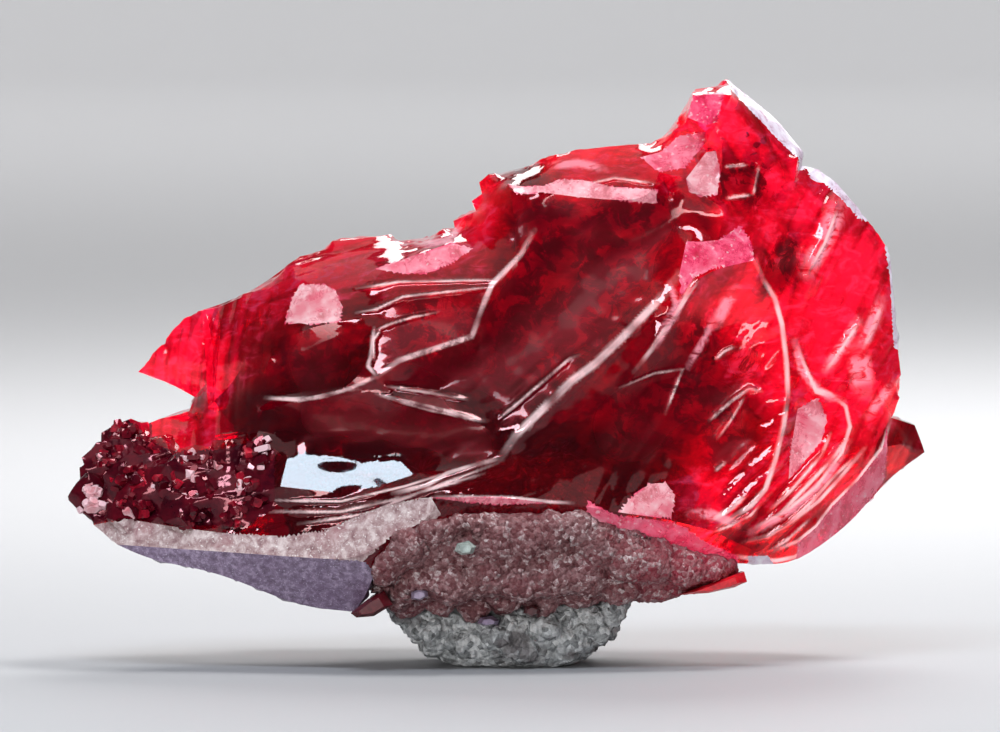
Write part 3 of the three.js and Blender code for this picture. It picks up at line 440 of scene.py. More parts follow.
def carve_relief(bm):
    """Adds ribs, ripples and fine streaks to the front, and small chips to the outline."""
    points, normal = points_of(bm), normals_of(bm)
    x, _, z = points.T
    front = np.clip(-normal[:, 1] * 2.2, 0, 1)
    flat = np.zeros(len(x))
    for face in FROSTED + [BAND, LAVENDER_FACE]:
        flat[inside(face, x, z)] = 1
    calm = calm_share(x, z)
    push = np.zeros(len(x))
    for height, half, path in RIBS:
        far, along = away_from(path, x, z)
        taper = np.clip(np.minimum(along, 1 - along) * 6, 0.15, 1)
        push += 0.8 * height * taper * np.clip(1 - far / (half * 1.3), 0, 1) ** 1.4
    wobble = rough(points, 4.5, 3.0)
    for cx, cz, near, far_out, wave, height, soft in RIPPLES:
        r = np.hypot(x - cx, z - cz) + 0.9 * wobble
        window = np.clip((r - near) / soft, 0, 1) * np.clip((far_out - r) / soft, 0, 1)
        phase = (r / wave) % 1.0
        crest = np.where(phase < 0.72, phase / 0.72, (1 - phase) / 0.28)
        push += height * window * (crest - 0.5) * (0.35 + 0.65 * np.abs(wobble)) * calm
    push *= 1 - 0.9 * flat
    streak = rough(points * [0.35, 0.2, 1.0], 0.9, 7.0)
    push += (0.02 * streak + 0.08 * flow_values(points)) * (1 - flat) * calm
    points[:, 1] -= push * front
    press_hollow(points, np.clip(4 * front, 0, 1))
    for cx, cz, wide, high, rise in SWELLS:
        points[:, 1] -= rise * front * np.exp(-(((x - cx) / wide) ** 2) - ((z - cz) / high) ** 2)
    inner = np.clip(0.35 - np.abs(normal[:, 1]), 0, 0.35) / 0.35
    chips = 1.5 * rough(points, 1.1, 11.0) + 0.8 * rough(points, 0.45, 19.0)
    move_to(bm, points + normal * (0.2 * inner * chips)[:, None])


# Frosted growth faces of the front, as outlines of (x, z).
FROSTED = [
    [(6.2, 12), (8.2, 11), (12, 10.5), (13.2, 9.9), (14.4, 9), (16.7, 7.9), (16.7, 6.8), (12, 7),
     (7, 7.4), (5.5, 9)],
    [(-15, 24.1), (-13, 24.1), (-11.1, 24.3), (-10.9, 25.3), (-11.4, 26.4), (-12.2, 26.8),
     (-13.9, 26.8), (-14.5, 25.8)],
    [(-8.8, 27.9), (-6.8, 27.6), (-5.1, 27.6), (-3.3, 28.3), (-1.8, 29.3), (-3.3, 29.7), (-5.4, 29)],
    [(0.6, 33.8), (1.3, 33.1), (3.2, 33.2), (5.2, 32.9), (8, 32.7), (11, 32.4), (11.1, 33.4), (8, 33.6),
     (5.7, 34.1), (4.2, 34.1), (3.2, 33.7), (1.8, 33.6)],
    [(13.1, 29.8), (15.3, 29.9), (16.9, 30.9), (17.6, 29.9), (17.9, 28.5), (16.4, 28.2), (14.8, 27.9),
     (13.6, 27.3), (12.7, 26), (12.6, 27.6)],
    [(13.1, 34.2), (14.5, 36), (15.2, 36.1), (15.5, 34.8), (15.3, 33.1), (14.3, 32.9), (13.3, 33.2)],
    [(13.6, 39.9), (15.8, 40.2), (15.3, 38.1), (14.5, 37.9), (13.2, 38.4)],
    [(9.9, 35.6), (11.4, 36), (12.6, 37.1), (14.5, 37.4), (14.3, 36.4), (13, 34.9), (11.2, 34.6)],
    [(8.3, 11.2), (9, 12.1), (10.4, 13.1), (11.6, 13.2), (12.3, 12.3), (12, 10.7)],
    [(20.2, 13.1), (20.4, 15.5), (20.9, 18.1), (22.3, 18.9), (23, 17.4), (22.6, 15.9), (21.3, 14.3)],
    [(27.3, 16.6), (26.9, 15), (25.2, 13), (23.3, 11.2), (22.2, 9.8), (20.9, 8.8), (20.8, 7.3),
     (22.5, 8.4), (23.9, 9.4), (25.1, 10.4), (26.1, 11.5), (27.2, 13)],
    [(-4.8, 12.4), (0, 12.4), (3.4, 11.9), (0, 11.8), (-2.85, 12.1)],
]

# How pale each of them is, from crimson pink at 0 to nearly white at 1: the faces' own frosting with a
# painted reflection of the lamps.
PALENESS_AND_SHEEN = [0.12, 0.8, 0.3, 0.6, 0.05, 0.75, 0.05, 0.2, 0.65, 0.6, 0.15, 0.4]

# Dark brownish stains in the gem, each [x, z, radius].
STAINS = [
    [1.5, 24.5, 2.6], [4.5, 27.5, 3], [8, 30.5, 2.6], [6, 24.6, 2.4], [3, 30.6, 2], [10.5, 31.5, 2],
    [18.2, 33.6, 1.6], [19.4, 27.4, 1.2], [20.2, 29, 1.1], [-12.5, 21.4, 2.6], [-4.6, 24, 2.4],
    [1, 20.6, 2.4], [12.6, 19.8, 2.4], [15.4, 34, 1.6], [9, 17, 3], [17, 8.7, 1.3], [11.4, 9.4, 1],
    [-5.6, 23.4, 1.8], [-2.6, 21.6, 1.8], [13.6, 23.4, 1.4], [16, 15.4, 1.6], [8.8, 27.4, 2],
    [3.2, 22.2, 1.8], [15.6, 18.2, 1.5], [17.2, 21.4, 1.2], [-12.4, 17.6, 1.5], [-9.5, 17.3, 1.5],
    [-6.5, 17, 1.6], [-3.6, 16.6, 1.6], [-1.6, 15.8, 1.3], [-5, 18.4, 1.2],
]

# Outlines of the pink-grey growth face at the lower left, the lavender one under it, the pale edges, whose
# pale colour is partly a painted reflection of the lamps, and the part covered in small crystals.
BAND = [
    (-26.6, 8.8), (-18, 8.35), (-9.4, 7.9), (-8.3, 8.9), (-7.2, 9.9), (-4, 11.1), (-4.7, 12.4),
    (-7, 12), (-9.5, 11.2), (-12, 10), (-15, 9.5), (-19, 9.7), (-23, 10.1), (-26, 10.6), (-28.3, 10.1),
    (-27.4, 9.5),
]
LAVENDER_FACE = [
    (-26.6, 8.8), (-18, 8.35), (-9.4, 7.9), (-8.6, 7.2), (-9, 4), (-14, 4), (-20, 6.4), (-25.6, 7.9),
]
PALE_SHEEN_EDGES = [
    [(16, 41.3), (16.4, 40.2), (19.9, 36.5), (21.1, 35.4), (21, 34.6), (22, 34.8), (21.8, 36.2),
     (20.3, 38.2), (18, 40.2)],
    [(21.6, 35), (22.6, 34.9), (24.6, 33.6), (25.9, 32.4), (26, 31), (25.3, 31.2), (24.2, 32.5),
     (23, 33.6), (21.9, 34)],
    [(27.8, 29.9), (28.2, 27.4), (28.6, 22), (27.8, 22), (27.5, 27), (27.1, 29.6)],
    [(17.4, 7.9), (18.8, 7.9), (19.2, 7.3), (18.6, 6.8), (17.4, 6.8)],
    [(-30.3, 11), (-30.3, 12.9), (-28.4, 13), (-26.6, 12.7), (-26.2, 11.5), (-27.3, 10.7), (-29, 10.3)],
]
CLUSTER = [
    (-31, 10), (-31, 17), (-26, 17.3), (-24.8, 16), (-22.6, 15.2), (-19.6, 15.4), (-17, 16),
    (-15.6, 15.4), (-15.6, 11.4), (-17.6, 10.2), (-23, 10.2), (-26, 10.7), (-28.3, 10.2),
]

# How bright the gem glows, seen from the front: [x, z, radius, brightness].
GLOW = [
    [-23.5, 21.5, 3.5, 1], [-20.5, 22, 3, 0.85], [-18, 23.5, 3, 0.7], [-21, 16.6, 2.6, 0.75],
    [-16, 26, 2.5, 0.8], [-12, 28.4, 2.6, 0.95], [-6, 29.5, 3, 1], [-2, 32, 3, 1],
    [-15.5, 22, 2.5, 0.4], [-12, 21.5, 3, 0.25], [-9.5, 23, 3, 0.3], [-5, 26, 3, 0.55],
    [-4.5, 23.8, 2.5, 0.4], [-7, 18, 4, 0.06], [-13, 16.5, 4.5, 0.04], [-12, 12, 4, 0.08],
    [-4, 14.5, 4, 0.05], [-16, 14, 4, 0.04], [0, 13, 3, 0.2], [1, 21, 3.5, 0.16], [3, 24, 3.5, 0.24],
    [-1, 19, 3, 0.08], [4, 28, 3.5, 0.3], [2.5, 31.5, 3, 0.3], [8, 28, 3.5, 0.35], [8, 31, 3, 0.38],
    [12, 30.5, 3, 0.35], [5.5, 35.2, 2.5, 0.95], [10, 35, 2.5, 0.8], [14, 38.5, 2.5, 0.95],
    [18, 37.5, 3, 0.92], [19.5, 34, 2.8, 0.8], [16.5, 34.5, 2, 0.5], [17.5, 31.5, 2.2, 0.8],
    [22.5, 31.5, 3.5, 1], [25.5, 28, 3.5, 1], [26, 23, 3.5, 1], [22.5, 25.5, 3.5, 0.95],
    [20.5, 29, 2.5, 0.75], [19.5, 27.2, 1.2, 0.3], [14.5, 24.5, 3, 0.7], [17, 25, 2.6, 0.95],
    [11, 22, 3, 0.28], [7, 20, 3, 0.25], [14, 20.5, 3, 0.22], [17.5, 21, 2.8, 0.85], [10, 17, 3.5, 0.2],
    [5, 16.5, 3, 0.16], [14.5, 16.5, 3, 0.3], [17.5, 16.5, 2.5, 0.5], [8, 14, 3, 0.18],
    [14.5, 12, 2.5, 1], [17.5, 12, 2.2, 0.7], [20.5, 14, 2.5, 0.9], [23, 15.5, 3, 0.7],
    [20, 10, 2.5, 0.5], [25.5, 19, 2.5, 0.9], [29, 15, 2, 0.5], [22, 20.5, 2.5, 0.95],
    [6.5, 24, 3, 0.35], [9.5, 25.5, 3, 0.42], [12, 10, 2, 0.4], [5, 11, 2.5, 0.25],
    [16.2, 8.9, 1.6, 0.35], [19, 7.9, 1.4, 0.3],
]


def glow_values(x, z):
    """The brightness at each point, blended from the places in GLOW."""
    total, weight = np.zeros(len(x)), np.full(len(x), 1e-9)
    for cx, cz, radius, value in GLOW:
        near = np.exp(-((x - cx) ** 2 + (z - cz) ** 2) / (0.42 * radius * radius))
        total += near * value
        weight += near
    return total / weight


def ridge_highlight_values(points):
    """1 on a crest, where a highlight is painted along the worn edge, falling to 0 a little way off it,
    uneven along the crest.
    """
    x, _, z = points.T
    best = np.zeros(len(x))
    for half, path in [(0.45 * half, path) for _, half, path in RIBS] + CRESTS:
        far, along = away_from(path, x, z)
        taper = np.clip(np.minimum(along, 1 - along) * 6, 0.1, 1)
        best = np.maximum(best, taper * np.clip((half - far) / (0.5 * half), 0, 1))
    return best * np.clip(0.75 + 1.1 * rough(points, 1.4, 23.0), 0.12, 1)


def pink_reflection_values(points):
    """1 in the middle of a painted pink reflection, falling to 0 at its edge."""
    x, _, z = points.T
    best = np.zeros(len(x))
    for half, path in PINK_REFLECTIONS:
        far, along = away_from(path, x, z)
        taper = np.clip(np.minimum(along, 1 - along) * 5, 0.2, 1)
        best = np.maximum(best, taper * np.clip(2.2 - 2.1 * far / half, 0, 1))
    return best


def stain_values(x, z):
    """1 in the middle of a stain, fading out with distance."""
    total = np.zeros(len(x))
    for cx, cz, radius in STAINS:
        total += np.exp(-((x - cx) ** 2 + (z - cz) ** 2) / (radius * radius))
    return np.clip(total, 0, 1)


def pale_sheen_values(x, z):
    """How pale the frosted face at each point is, with the painted reflection in it."""
    values = np.zeros(len(x))
    for paleness, outline in zip(PALENESS_AND_SHEEN, FROSTED):
        values[inside(outline, x, z)] = paleness
    return values


def shape_crystal():
    """The crystal: crisp along its crests, folds and rims, rounded elsewhere, then carved."""
    bm = copy_of("cuprite_crystal", CREASE)
    crests = [path for _, _, path in RIBS] + [path for _, path in CRESTS]
    rims = [face + face[:1] for face in FROSTED + [BAND, LAVENDER_FACE]]
    settle_creases(bm, crests + FOLDS + rims, CRISP_REACH)
    for front, back, rounds in ((1.6, 3.0, 6), (0.8, 2.0, 4), (GEM_EDGE, 1.0, 3)):
        split_long(bm, front, back)
        relax(bm, rounds)
    split_near(bm, crests, CREST_REACH, 0.4 * GEM_EDGE)
    carve_relief(bm)
    return bm


def finish_of_faces(bm):
    """Which of the crystal's finishes each face has."""
    bm.normal_update()
    x, _, z = np.array([f.calc_center_median()[:] for f in bm.faces]).T
    facing = np.array([f.normal.y for f in bm.faces])
    finish = np.full(len(x), GEM, np.int32)
    for outline in FROSTED:
        finish[(facing < -0.05) & inside(outline, x, z)] = FROSTED_FACE
    for outline in PALE_SHEEN_EDGES:
        finish[inside(outline, x, z)] = PALE_SHEEN_EDGE
    finish[inside(CLUSTER, x, z) & ((facing < 0.2) | (x < -24))] = SMALL_CRYSTAL
    finish[(facing < -0.05) & inside(BAND, x, z)] = PINK_BAND
    finish[(facing < 0.5) & inside(LAVENDER_FACE, x, z)] = LAVENDER
    finish[(facing < -0.05) & inside(HOLLOW, x, z)] = MIRROR
    return finish


def crystal_piece(small_crystal_finish):
    bm = shape_crystal()
    finish = finish_of_faces(bm)
    points, front = points_of(bm), normals_of(bm)[:, 1] < 0
    x, _, z = points.T
    piece = piece_from(bm, "cuprite_gem", "cuprite_crystal")
    piece.data.polygons.foreach_set("material_index", finish)
    glow = glow_values(x, z)
    paint(piece, "glow", glow + (0.08 + 0.32 * glow) * flow_values(points))
    # Painted highlights on the crests and painted pink reflections, on the front only.
    paint(piece, "ridge_highlight", ridge_highlight_values(points) * front)
    paint(piece, "pink_reflection", pink_reflection_values(points) * front)
    paint(piece, "stain", stain_values(x, z))
    # The frosted faces' paleness, partly painted reflection.
    paint(piece, "pale", pale_sheen_values(x, z))
    mottle = mottle_group()
    for material in (
        gem_material("cuprite_gem", (1.0, 0.12, 0.15, 1)),
        frosted_material(mottle),
        band_material(mottle),
        lavender_material(mottle),
        small_crystal_finish,
        pale_sheen_edge_material(mottle),
        gem_material("mirroring_hollow", (0.15, 0.25, 0.3, 1)),
    ):
        piece.data.materials.append(material)


# Materials

def new_material(name, **values):
    material = bpy.data.materials.new(name)
    material.use_nodes = True
    shader = material.node_tree.nodes["Principled BSDF"]
    for key, value in values.items():
        shader.inputs[key.replace("_", " ")].default_value = value
    return material, material.node_tree, shader


def connect(tree, value, socket):
    """Puts a number, a colour or another node's output on a socket."""
    if isinstance(value, (int, float)):
        socket.default_value = value
    elif isinstance(value, tuple):
        socket.default_value = (*value, 1)
    else:
        tree.links.new(value, socket)


def noise_at(tree, scale, detail=4.0, roughness=0.55, distortion=0.0, stretch=(1, 1, 1)):
    """Noise on Object coordinates: scale is in cells per metre."""
    place = tree.nodes.new("ShaderNodeTexCoord")
    mapping = tree.nodes.new("ShaderNodeMapping")
    mapping.inputs["Scale"].default_value = stretch
    texture = tree.nodes.new("ShaderNodeTexNoise")
    given = {"Scale": scale, "Detail": detail, "Roughness": roughness, "Distortion": distortion}
    for name, value in given.items():
        connect(tree, value, texture.inputs[name])
    tree.links.new(place.outputs["Object"], mapping.inputs["Vector"])
    tree.links.new(mapping.outputs["Vector"], texture.inputs["Vector"])
    return texture.outputs["Fac"]


def cells_at(tree, scale):
    """Voronoi grains on Object coordinates."""
    place = tree.nodes.new("ShaderNodeTexCoord")
    texture = tree.nodes.new("ShaderNodeTexVoronoi")
    connect(tree, scale, texture.inputs["Scale"])
    tree.links.new(place.outputs["Object"], texture.inputs["Vector"])
    return texture.outputs


def across_at(tree):
    """How far to the right a point is, in metres."""
    place = tree.nodes.new("ShaderNodeTexCoord")
    parts = tree.nodes.new("ShaderNodeSeparateXYZ")
    tree.links.new(place.outputs["Object"], parts.inputs[0])
    return parts.outputs["X"]


def ramp(tree, value, stops):
    """A colour for a value between 0 and 1, from stops of (value, colour)."""
    node = tree.nodes.new("ShaderNodeValToRGB")
    points = node.color_ramp.elements
    while len(points) < len(stops):
        points.new(0.5)
    for point, (at, colour) in zip(points, stops):
        point.position = at
        point.color = (*colour, 1)
    tree.links.new(value, node.inputs["Fac"])
    return node.outputs["Color"]


def level(tree, value, low, high, out_low=0.0, out_high=1.0):
    """Turns low to high into out_low to out_high, and holds the ends."""
    node = tree.nodes.new("ShaderNodeMapRange")
    given = {"From Min": low, "From Max": high, "To Min": out_low, "To Max": out_high}
    for key, number in given.items():
        node.inputs[key].default_value = number
    tree.links.new(value, node.inputs["Value"])
    return node.outputs["Result"]


def calc(tree, kind, a, b):
    node = tree.nodes.new("ShaderNodeMath")
    node.operation = kind
    connect(tree, a, node.inputs[0])
    connect(tree, b, node.inputs[1])
    return node.outputs["Value"]


def mixed(tree, factor, a, b):
    node = tree.nodes.new("ShaderNodeMix")
    node.data_type = "RGBA"
    for number, value in ((0, factor), (6, a), (7, b)):
        connect(tree, value, node.inputs[number])
    return node.outputs[2]


def bumped(tree, shader, height, strength, distance):
    node = tree.nodes.new("ShaderNodeBump")
    node.inputs["Strength"].default_value = strength
    node.inputs["Distance"].default_value = distance
    tree.links.new(height, node.inputs["Height"])
    tree.links.new(node.outputs["Normal"], shader.inputs["Normal"])


def absorbing(tree, colour, density):
    volume = tree.nodes.new("ShaderNodeVolumeAbsorption")
    volume.inputs["Color"].default_value = (*colour, 1)
    volume.inputs["Density"].default_value = density
    tree.links.new(volume.outputs["Volume"], tree.nodes["Material Output"].inputs["Volume"])


def new_group(name, inputs, outputs):
    made = bpy.data.node_groups.new(name, "ShaderNodeTree")
    for socket in inputs:
        made.interface.new_socket(socket, in_out="INPUT", socket_type="NodeSocketFloat")
    for socket in outputs:
        made.interface.new_socket(socket, in_out="OUTPUT", socket_type="NodeSocketFloat")
    return made, made.nodes.new("NodeGroupInput").outputs, made.nodes.new("NodeGroupOutput").inputs


def placed(tree, group, **values):
    node = tree.nodes.new("ShaderNodeGroup")
    node.node_tree = group
    for name, value in values.items():
        node.inputs[name.replace("_", " ")].default_value = value
    return node.outputs


def mottle_group():
    """Cloudy mottling, larger patches and fine specks, for the frosted growth faces."""
    tree, given, out = new_group(
        "growth_face_mottle", ["Scale", "Patch Scale"], ["Mottle", "Patch", "Speck"]
    )
    tree.links.new(noise_at(tree, given["Scale"], 6, 0.68, 0.4), out["Mottle"])
    tree.links.new(noise_at(tree, given["Patch Scale"], 3, 0.6, 0.3), out["Patch"])
    tree.links.new(noise_at(tree, calc(tree, "MULTIPLY", given["Scale"], 4.5), 2, 0.5), out["Speck"])
    return tree


def grain_group():
    """Rock grains: each with its own shade and gloss, and a height for the bump."""
    tree, given, out = new_group("rock_grains", ["Scale"], ["Shade", "Gloss", "Height"])
    grains = cells_at(tree, given["Scale"])
    parts = tree.nodes.new("ShaderNodeSeparateColor")
    tree.links.new(grains["Color"], parts.inputs[0])
    fine = noise_at(tree, calc(tree, "MULTIPLY", given["Scale"], 1.7), 4, 0.65)
    own = level(tree, parts.outputs[0], 0, 1, 0, 0.6)
    tree.links.new(calc(tree, "ADD", own, level(tree, fine, 0.3, 0.7, 0, 0.4)), out["Shade"])
    tree.links.new(parts.outputs[1], out["Gloss"])
    tree.links.new(calc(tree, "SUBTRACT", fine, grains["Distance"]), out["Height"])
    return tree


def painted(tree, name):
    """A value that the piece's points carry."""
    node = tree.nodes.new("ShaderNodeAttribute")
    node.attribute_name = name
    return node.outputs["Fac"]


def gem_material(name, tint):
    """See-through red gem with painted glow, painted highlights on its crests, painted pink reflections and
    stains. The tint colours its gloss.
    """
    material, tree, shader = new_material(
        name, Transmission_Weight=1.0, IOR=GEM_IOR, Coat_Roughness=0.02, Coat_IOR=1.45,
        Emission_Strength=0.35, Specular_Tint=tint,
    )
    cloud = noise_at(tree, 250, 6, 0.66, 0.7, (1, 1, 1.2))
    fine = noise_at(tree, 800, 5, 0.62, 1.2, (0.6, 1, 1.4))
    shade = calc(tree, "ADD", painted(tree, "glow"), level(tree, cloud, 0.3, 0.7, -0.2, 0.17))
    shade = calc(tree, "ADD", shade, level(tree, fine, 0.3, 0.7, -0.12, 0.1))
    spots = level(tree, noise_at(tree, 640, 6, 0.7, 0.5), 0.47, 0.58, 0, 0.8)
    spots = calc(tree, "MULTIPLY", painted(tree, "stain"), spots)
    shade = calc(tree, "SUBTRACT", shade, spots)
    colour = ramp(
        tree, shade,
        [(0.0, (0.085, 0.0, 0.006)), (0.25, (0.2, 0.0, 0.006)), (0.5, (0.42, 0.0, 0.008)),
         (0.8, (0.8, 0.001, 0.015)), (1.0, (0.95, 0.008, 0.04))],
    )
    tree.links.new(mixed(tree, spots, colour, (0.03, 0.0, 0.003)), shader.inputs["Base Color"])
    lit = ramp(
        tree, shade,
        [(0.0, (0.045, 0.0, 0.004)), (0.3, (0.12, 0.0, 0.005)), (0.6, (0.3, 0.0, 0.01)),
         (1.0, (0.95, 0.006, 0.05))],
    )
    crimson = calc(tree, "MULTIPLY", level(tree, fine, 0.5, 0.66, 0, 0.8), level(tree, shade, 0.5, 0.9))
    lit = mixed(tree, crimson, lit, (0.9, 0.07, 0.22))
    # Painted reflection: soft pink streaks in the emission.
    pink_reflection = calc(tree, "MULTIPLY", painted(tree, "pink_reflection"), level(tree, fine, 0.4, 0.52, 0.1, 1.0))
    lit = mixed(tree, pink_reflection, lit, (2.0, 0.8, 1.05))
    # Painted highlight: the crests' emission turns pale pink-white.
    lit = mixed(tree, painted(tree, "ridge_highlight"), lit, (2.4, 1.8, 1.9))
    lit = mixed(tree, spots, lit, (0.02, 0.002, 0.003))
    tree.links.new(lit, shader.inputs["Emission Color"])
    stained = painted(tree, "stain")
    tree.links.new(level(tree, stained, 0.1, 0.8, 0.8, 0.02), shader.inputs["Coat Weight"])
    tree.links.new(level(tree, stained, 0.1, 0.8, 0.08, 0.4), shader.inputs["Roughness"])
    bumped(tree, shader, noise_at(tree, 700, 2, 0.45, 0.6, (0.5, 1, 1)), 0.06, 0.0003)
    absorbing(tree, (1.0, 0.1, 0.1), GEM_DENSITY)
    return material


# Frosted growth face; its colour also goes to the emission, a painted glow.
def frosted_material(mottle):
    material, tree, shader = new_material(
        "frosted_face", Transmission_Weight=0.2, IOR=GEM_IOR, Coat_Weight=0.4, Coat_Roughness=0.12,
        Emission_Strength=0.13,
    )
    look = placed(tree, mottle, Scale=700, Patch_Scale=260)
    colour = ramp(
        tree, look["Mottle"],
        [(0.34, (0.42, 0.002, 0.03)), (0.48, (0.72, 0.02, 0.11)), (0.6, (0.8, 0.11, 0.22)),
         (0.74, (0.84, 0.45, 0.52))],
    )
    mottled = level(tree, look["Mottle"], 0.36, 0.56, 0.35, 1.0)
    # Painted reflection: the pale share whitens the frosted colour.
    pale = calc(tree, "MULTIPLY", painted(tree, "pale"), mottled)
    colour = mixed(tree, pale, colour, (0.8, 0.6, 0.6))
    colour = mixed(tree, level(tree, look["Speck"], 0.62, 0.7, 0, 0.45), colour, (0.9, 0.76, 0.78))
    colour = mixed(tree, level(tree, look["Patch"], 0.52, 0.62, 0, 0.6), colour, (0.6, 0.01, 0.07))
    tree.links.new(colour, shader.inputs["Base Color"])
    tree.links.new(colour, shader.inputs["Emission Color"])
    tree.links.new(level(tree, look["Mottle"], 0.3, 0.7, 0.15, 0.45), shader.inputs["Roughness"])
    bumped(tree, shader, look["Speck"], 0.2, 0.0001)
    return material


def band_material(mottle):
    material, tree, shader = new_material("pink_grey_band", Coat_Weight=0.3, Coat_Roughness=0.2)
    look = placed(tree, mottle, Scale=1500, Patch_Scale=330)
    colour = ramp(
        tree, look["Mottle"],
        [(0.34, (0.2, 0.09, 0.1)), (0.5, (0.4, 0.27, 0.27)), (0.66, (0.66, 0.55, 0.54))],
    )
    colour = mixed(tree, level(tree, look["Patch"], 0.5, 0.66, 0, 0.5), colour, (0.32, 0.1, 0.12))
    colour = mixed(tree, level(tree, look["Speck"], 0.62, 0.7, 0, 0.8), colour, (0.85, 0.8, 0.78))
    tree.links.new(colour, shader.inputs["Base Color"])
    tree.links.new(level(tree, look["Mottle"], 0.3, 0.7, 0.3, 0.55), shader.inputs["Roughness"])
    bumped(tree, shader, look["Mottle"], 0.25, 0.00012)
    return material


def lavender_material(mottle):
    material, tree, shader = new_material("lavender_face", Coat_Weight=0.3, Coat_Roughness=0.2)
    look = placed(tree, mottle, Scale=2300, Patch_Scale=260)
    colour = ramp(
        tree, look["Mottle"],
        [(0.35, (0.11, 0.07, 0.115)), (0.5, (0.21, 0.15, 0.235)), (0.66, (0.42, 0.33, 0.46))],
    )
    colour = mixed(tree, level(tree, look["Patch"], 0.4, 0.65, 0, 0.45), colour, (0.15, 0.09, 0.17))
    colour = mixed(tree, level(tree, look["Speck"], 0.63, 0.7, 0, 0.7), colour, (0.62, 0.55, 0.68))
    tree.links.new(colour, shader.inputs["Base Color"])
    tree.links.new(level(tree, look["Mottle"], 0.3, 0.7, 0.32, 0.55), shader.inputs["Roughness"])
    bumped(tree, shader, look["Mottle"], 0.2, 0.0001)
    return material


# Pale lavender-white rims: partly their own colour, partly a painted reflection of the lamps behind.
def pale_sheen_edge_material(mottle):
    material, tree, shader = new_material("pale_sheen_edge", Coat_Weight=0.6, Coat_Roughness=0.1)
    look = placed(tree, mottle, Scale=1100, Patch_Scale=400)
    colour = ramp(
        tree, look["Mottle"],
        [(0.3, (0.5, 0.25, 0.34)), (0.5, (0.72, 0.6, 0.72)), (0.7, (0.88, 0.84, 0.9))],
    )
    tree.links.new(colour, shader.inputs["Base Color"])
    tree.links.new(level(tree, look["Mottle"], 0.3, 0.7, 0.2, 0.45), shader.inputs["Roughness"])
    return material


def cluster_material():
    """Dark maroon, up to pale pink where the piece's tone says so; the pale pink of a few random crystals
    is a painted glint.
    """
    material, tree, shader = new_material(
        "small_crystals", Roughness=0.12, IOR=1.6, Specular_Tint=(1.0, 0.4, 0.45, 1)
    )
    uneven = level(tree, noise_at(tree, 700, 5, 0.66), 0.3, 0.7, -0.1, 0.3)
    tone = calc(tree, "ADD", painted(tree, "tone"), uneven)
    colour = ramp(
        tree, tone,
        [(0.0, (0.03, 0.001, 0.005)), (0.35, (0.12, 0.003, 0.01)), (0.6, (0.5, 0.01, 0.03)),
         (0.95, (0.78, 0.52, 0.56))],
    )
    tree.links.new(colour, shader.inputs["Base Color"])
    return material


def brown_material(grains):
    """Brown grains with red patches; the rock's right end is glassy crimson."""
    material, tree, shader = new_material("brown_granular_rock")
    look = placed(tree, grains, Scale=2900)
    colour = ramp(
        tree, look["Shade"],
        [(0.1, (0.1, 0.018, 0.022)), (0.42, (0.23, 0.085, 0.09)), (0.7, (0.37, 0.2, 0.205)),
         (0.88, (0.75, 0.62, 0.62))],
    )
    red = level(tree, noise_at(tree, 300, 6, 0.65), 0.52, 0.68, 0, 0.6)
    colour = mixed(tree, red, colour, (0.17, 0.025, 0.035))
    to_the_right = level(tree, across_at(tree), 0.006, 0.017, 0, 0.85)
    tail = calc(tree, "ADD", to_the_right, level(tree, look["Shade"], 0, 1, 0.1, -0.4))
    tree.links.new(mixed(tree, tail, colour, (0.42, 0.012, 0.045)), shader.inputs["Base Color"])
    tree.links.new(level(tree, look["Gloss"], 0, 1, 0.2, 0.8), shader.inputs["Roughness"])
    bumped(tree, shader, look["Height"], 0.8, 0.0004)
    return material


def grey_material(grains):
    material, tree, shader = new_material("grey_sugary_rock")
    look = placed(tree, grains, Scale=1900)
    colour = ramp(
        tree, look["Shade"],
        [(0.08, (0.14, 0.14, 0.14)), (0.35, (0.4, 0.41, 0.41)), (0.6, (0.68, 0.69, 0.69)),
         (0.85, (0.95, 0.95, 0.94))],
    )
    dark = level(tree, noise_at(tree, 420, 4), 0.54, 0.64, 0, 0.7)
    tree.links.new(mixed(tree, dark, colour, (0.12, 0.09, 0.09)), shader.inputs["Base Color"])
    tree.links.new(level(tree, look["Gloss"], 0, 1, 0.25, 0.85), shader.inputs["Roughness"])
    bumped(tree, shader, look["Height"], 0.9, 0.0005)
    return material


def inclusion_material():
    material, tree, shader = new_material("dark_inclusion", Roughness=0.5)
    tree.links.new(
        ramp(tree, noise_at(tree, 2000, 3), [(0.4, (0.02, 0.0, 0.002)), (0.6, (0.12, 0.0, 0.006))]),
        shader.inputs["Base Color"],
    )
    return material


# Rock

def rock_piece(node, name, material, grain, height, swell, lift):
    """A rock with grains of so many mm that stand out by height. The surface is raised by swell all
    round, and by lift at the top of the front."""
    bm = copy_of(node, NO_CREASE)
    for longest, rounds in ((1.0, 3), (0.5, 1), (ROCK_EDGE, 0)):
        split_long(bm, longest, longest * 1.8)
        relax(bm, rounds)
    points, normal = points_of(bm), normals_of(bm)
    under = np.clip(points[:, 2] / 1.2, 0, 1)
    push = (
        0.8 * height * rough(points, grain * 3.5, 5.0)
        + height * (heap(points, grain * 2.2, 3.0) - 0.5)
    )
    push += (
        0.55 * height * (heap(points, grain, 9.0) - 0.5)
        + 0.3 * height * rough(points, grain * 0.5, 13.0)
    )
    points += normal * ((push + swell) * under)[:, None]
    high = np.clip((points[:, 2] - 6.5) / 2.5, 0, 1)
    near = np.clip((-5.5 - points[:, 1]) / 2, 0, 1)
    points[:, 2] += lift * high * near
    points[:, 2] = np.maximum(points[:, 2], 0)
    move_to(bm, points)
    piece_from(bm, name, node).data.materials.append(material)


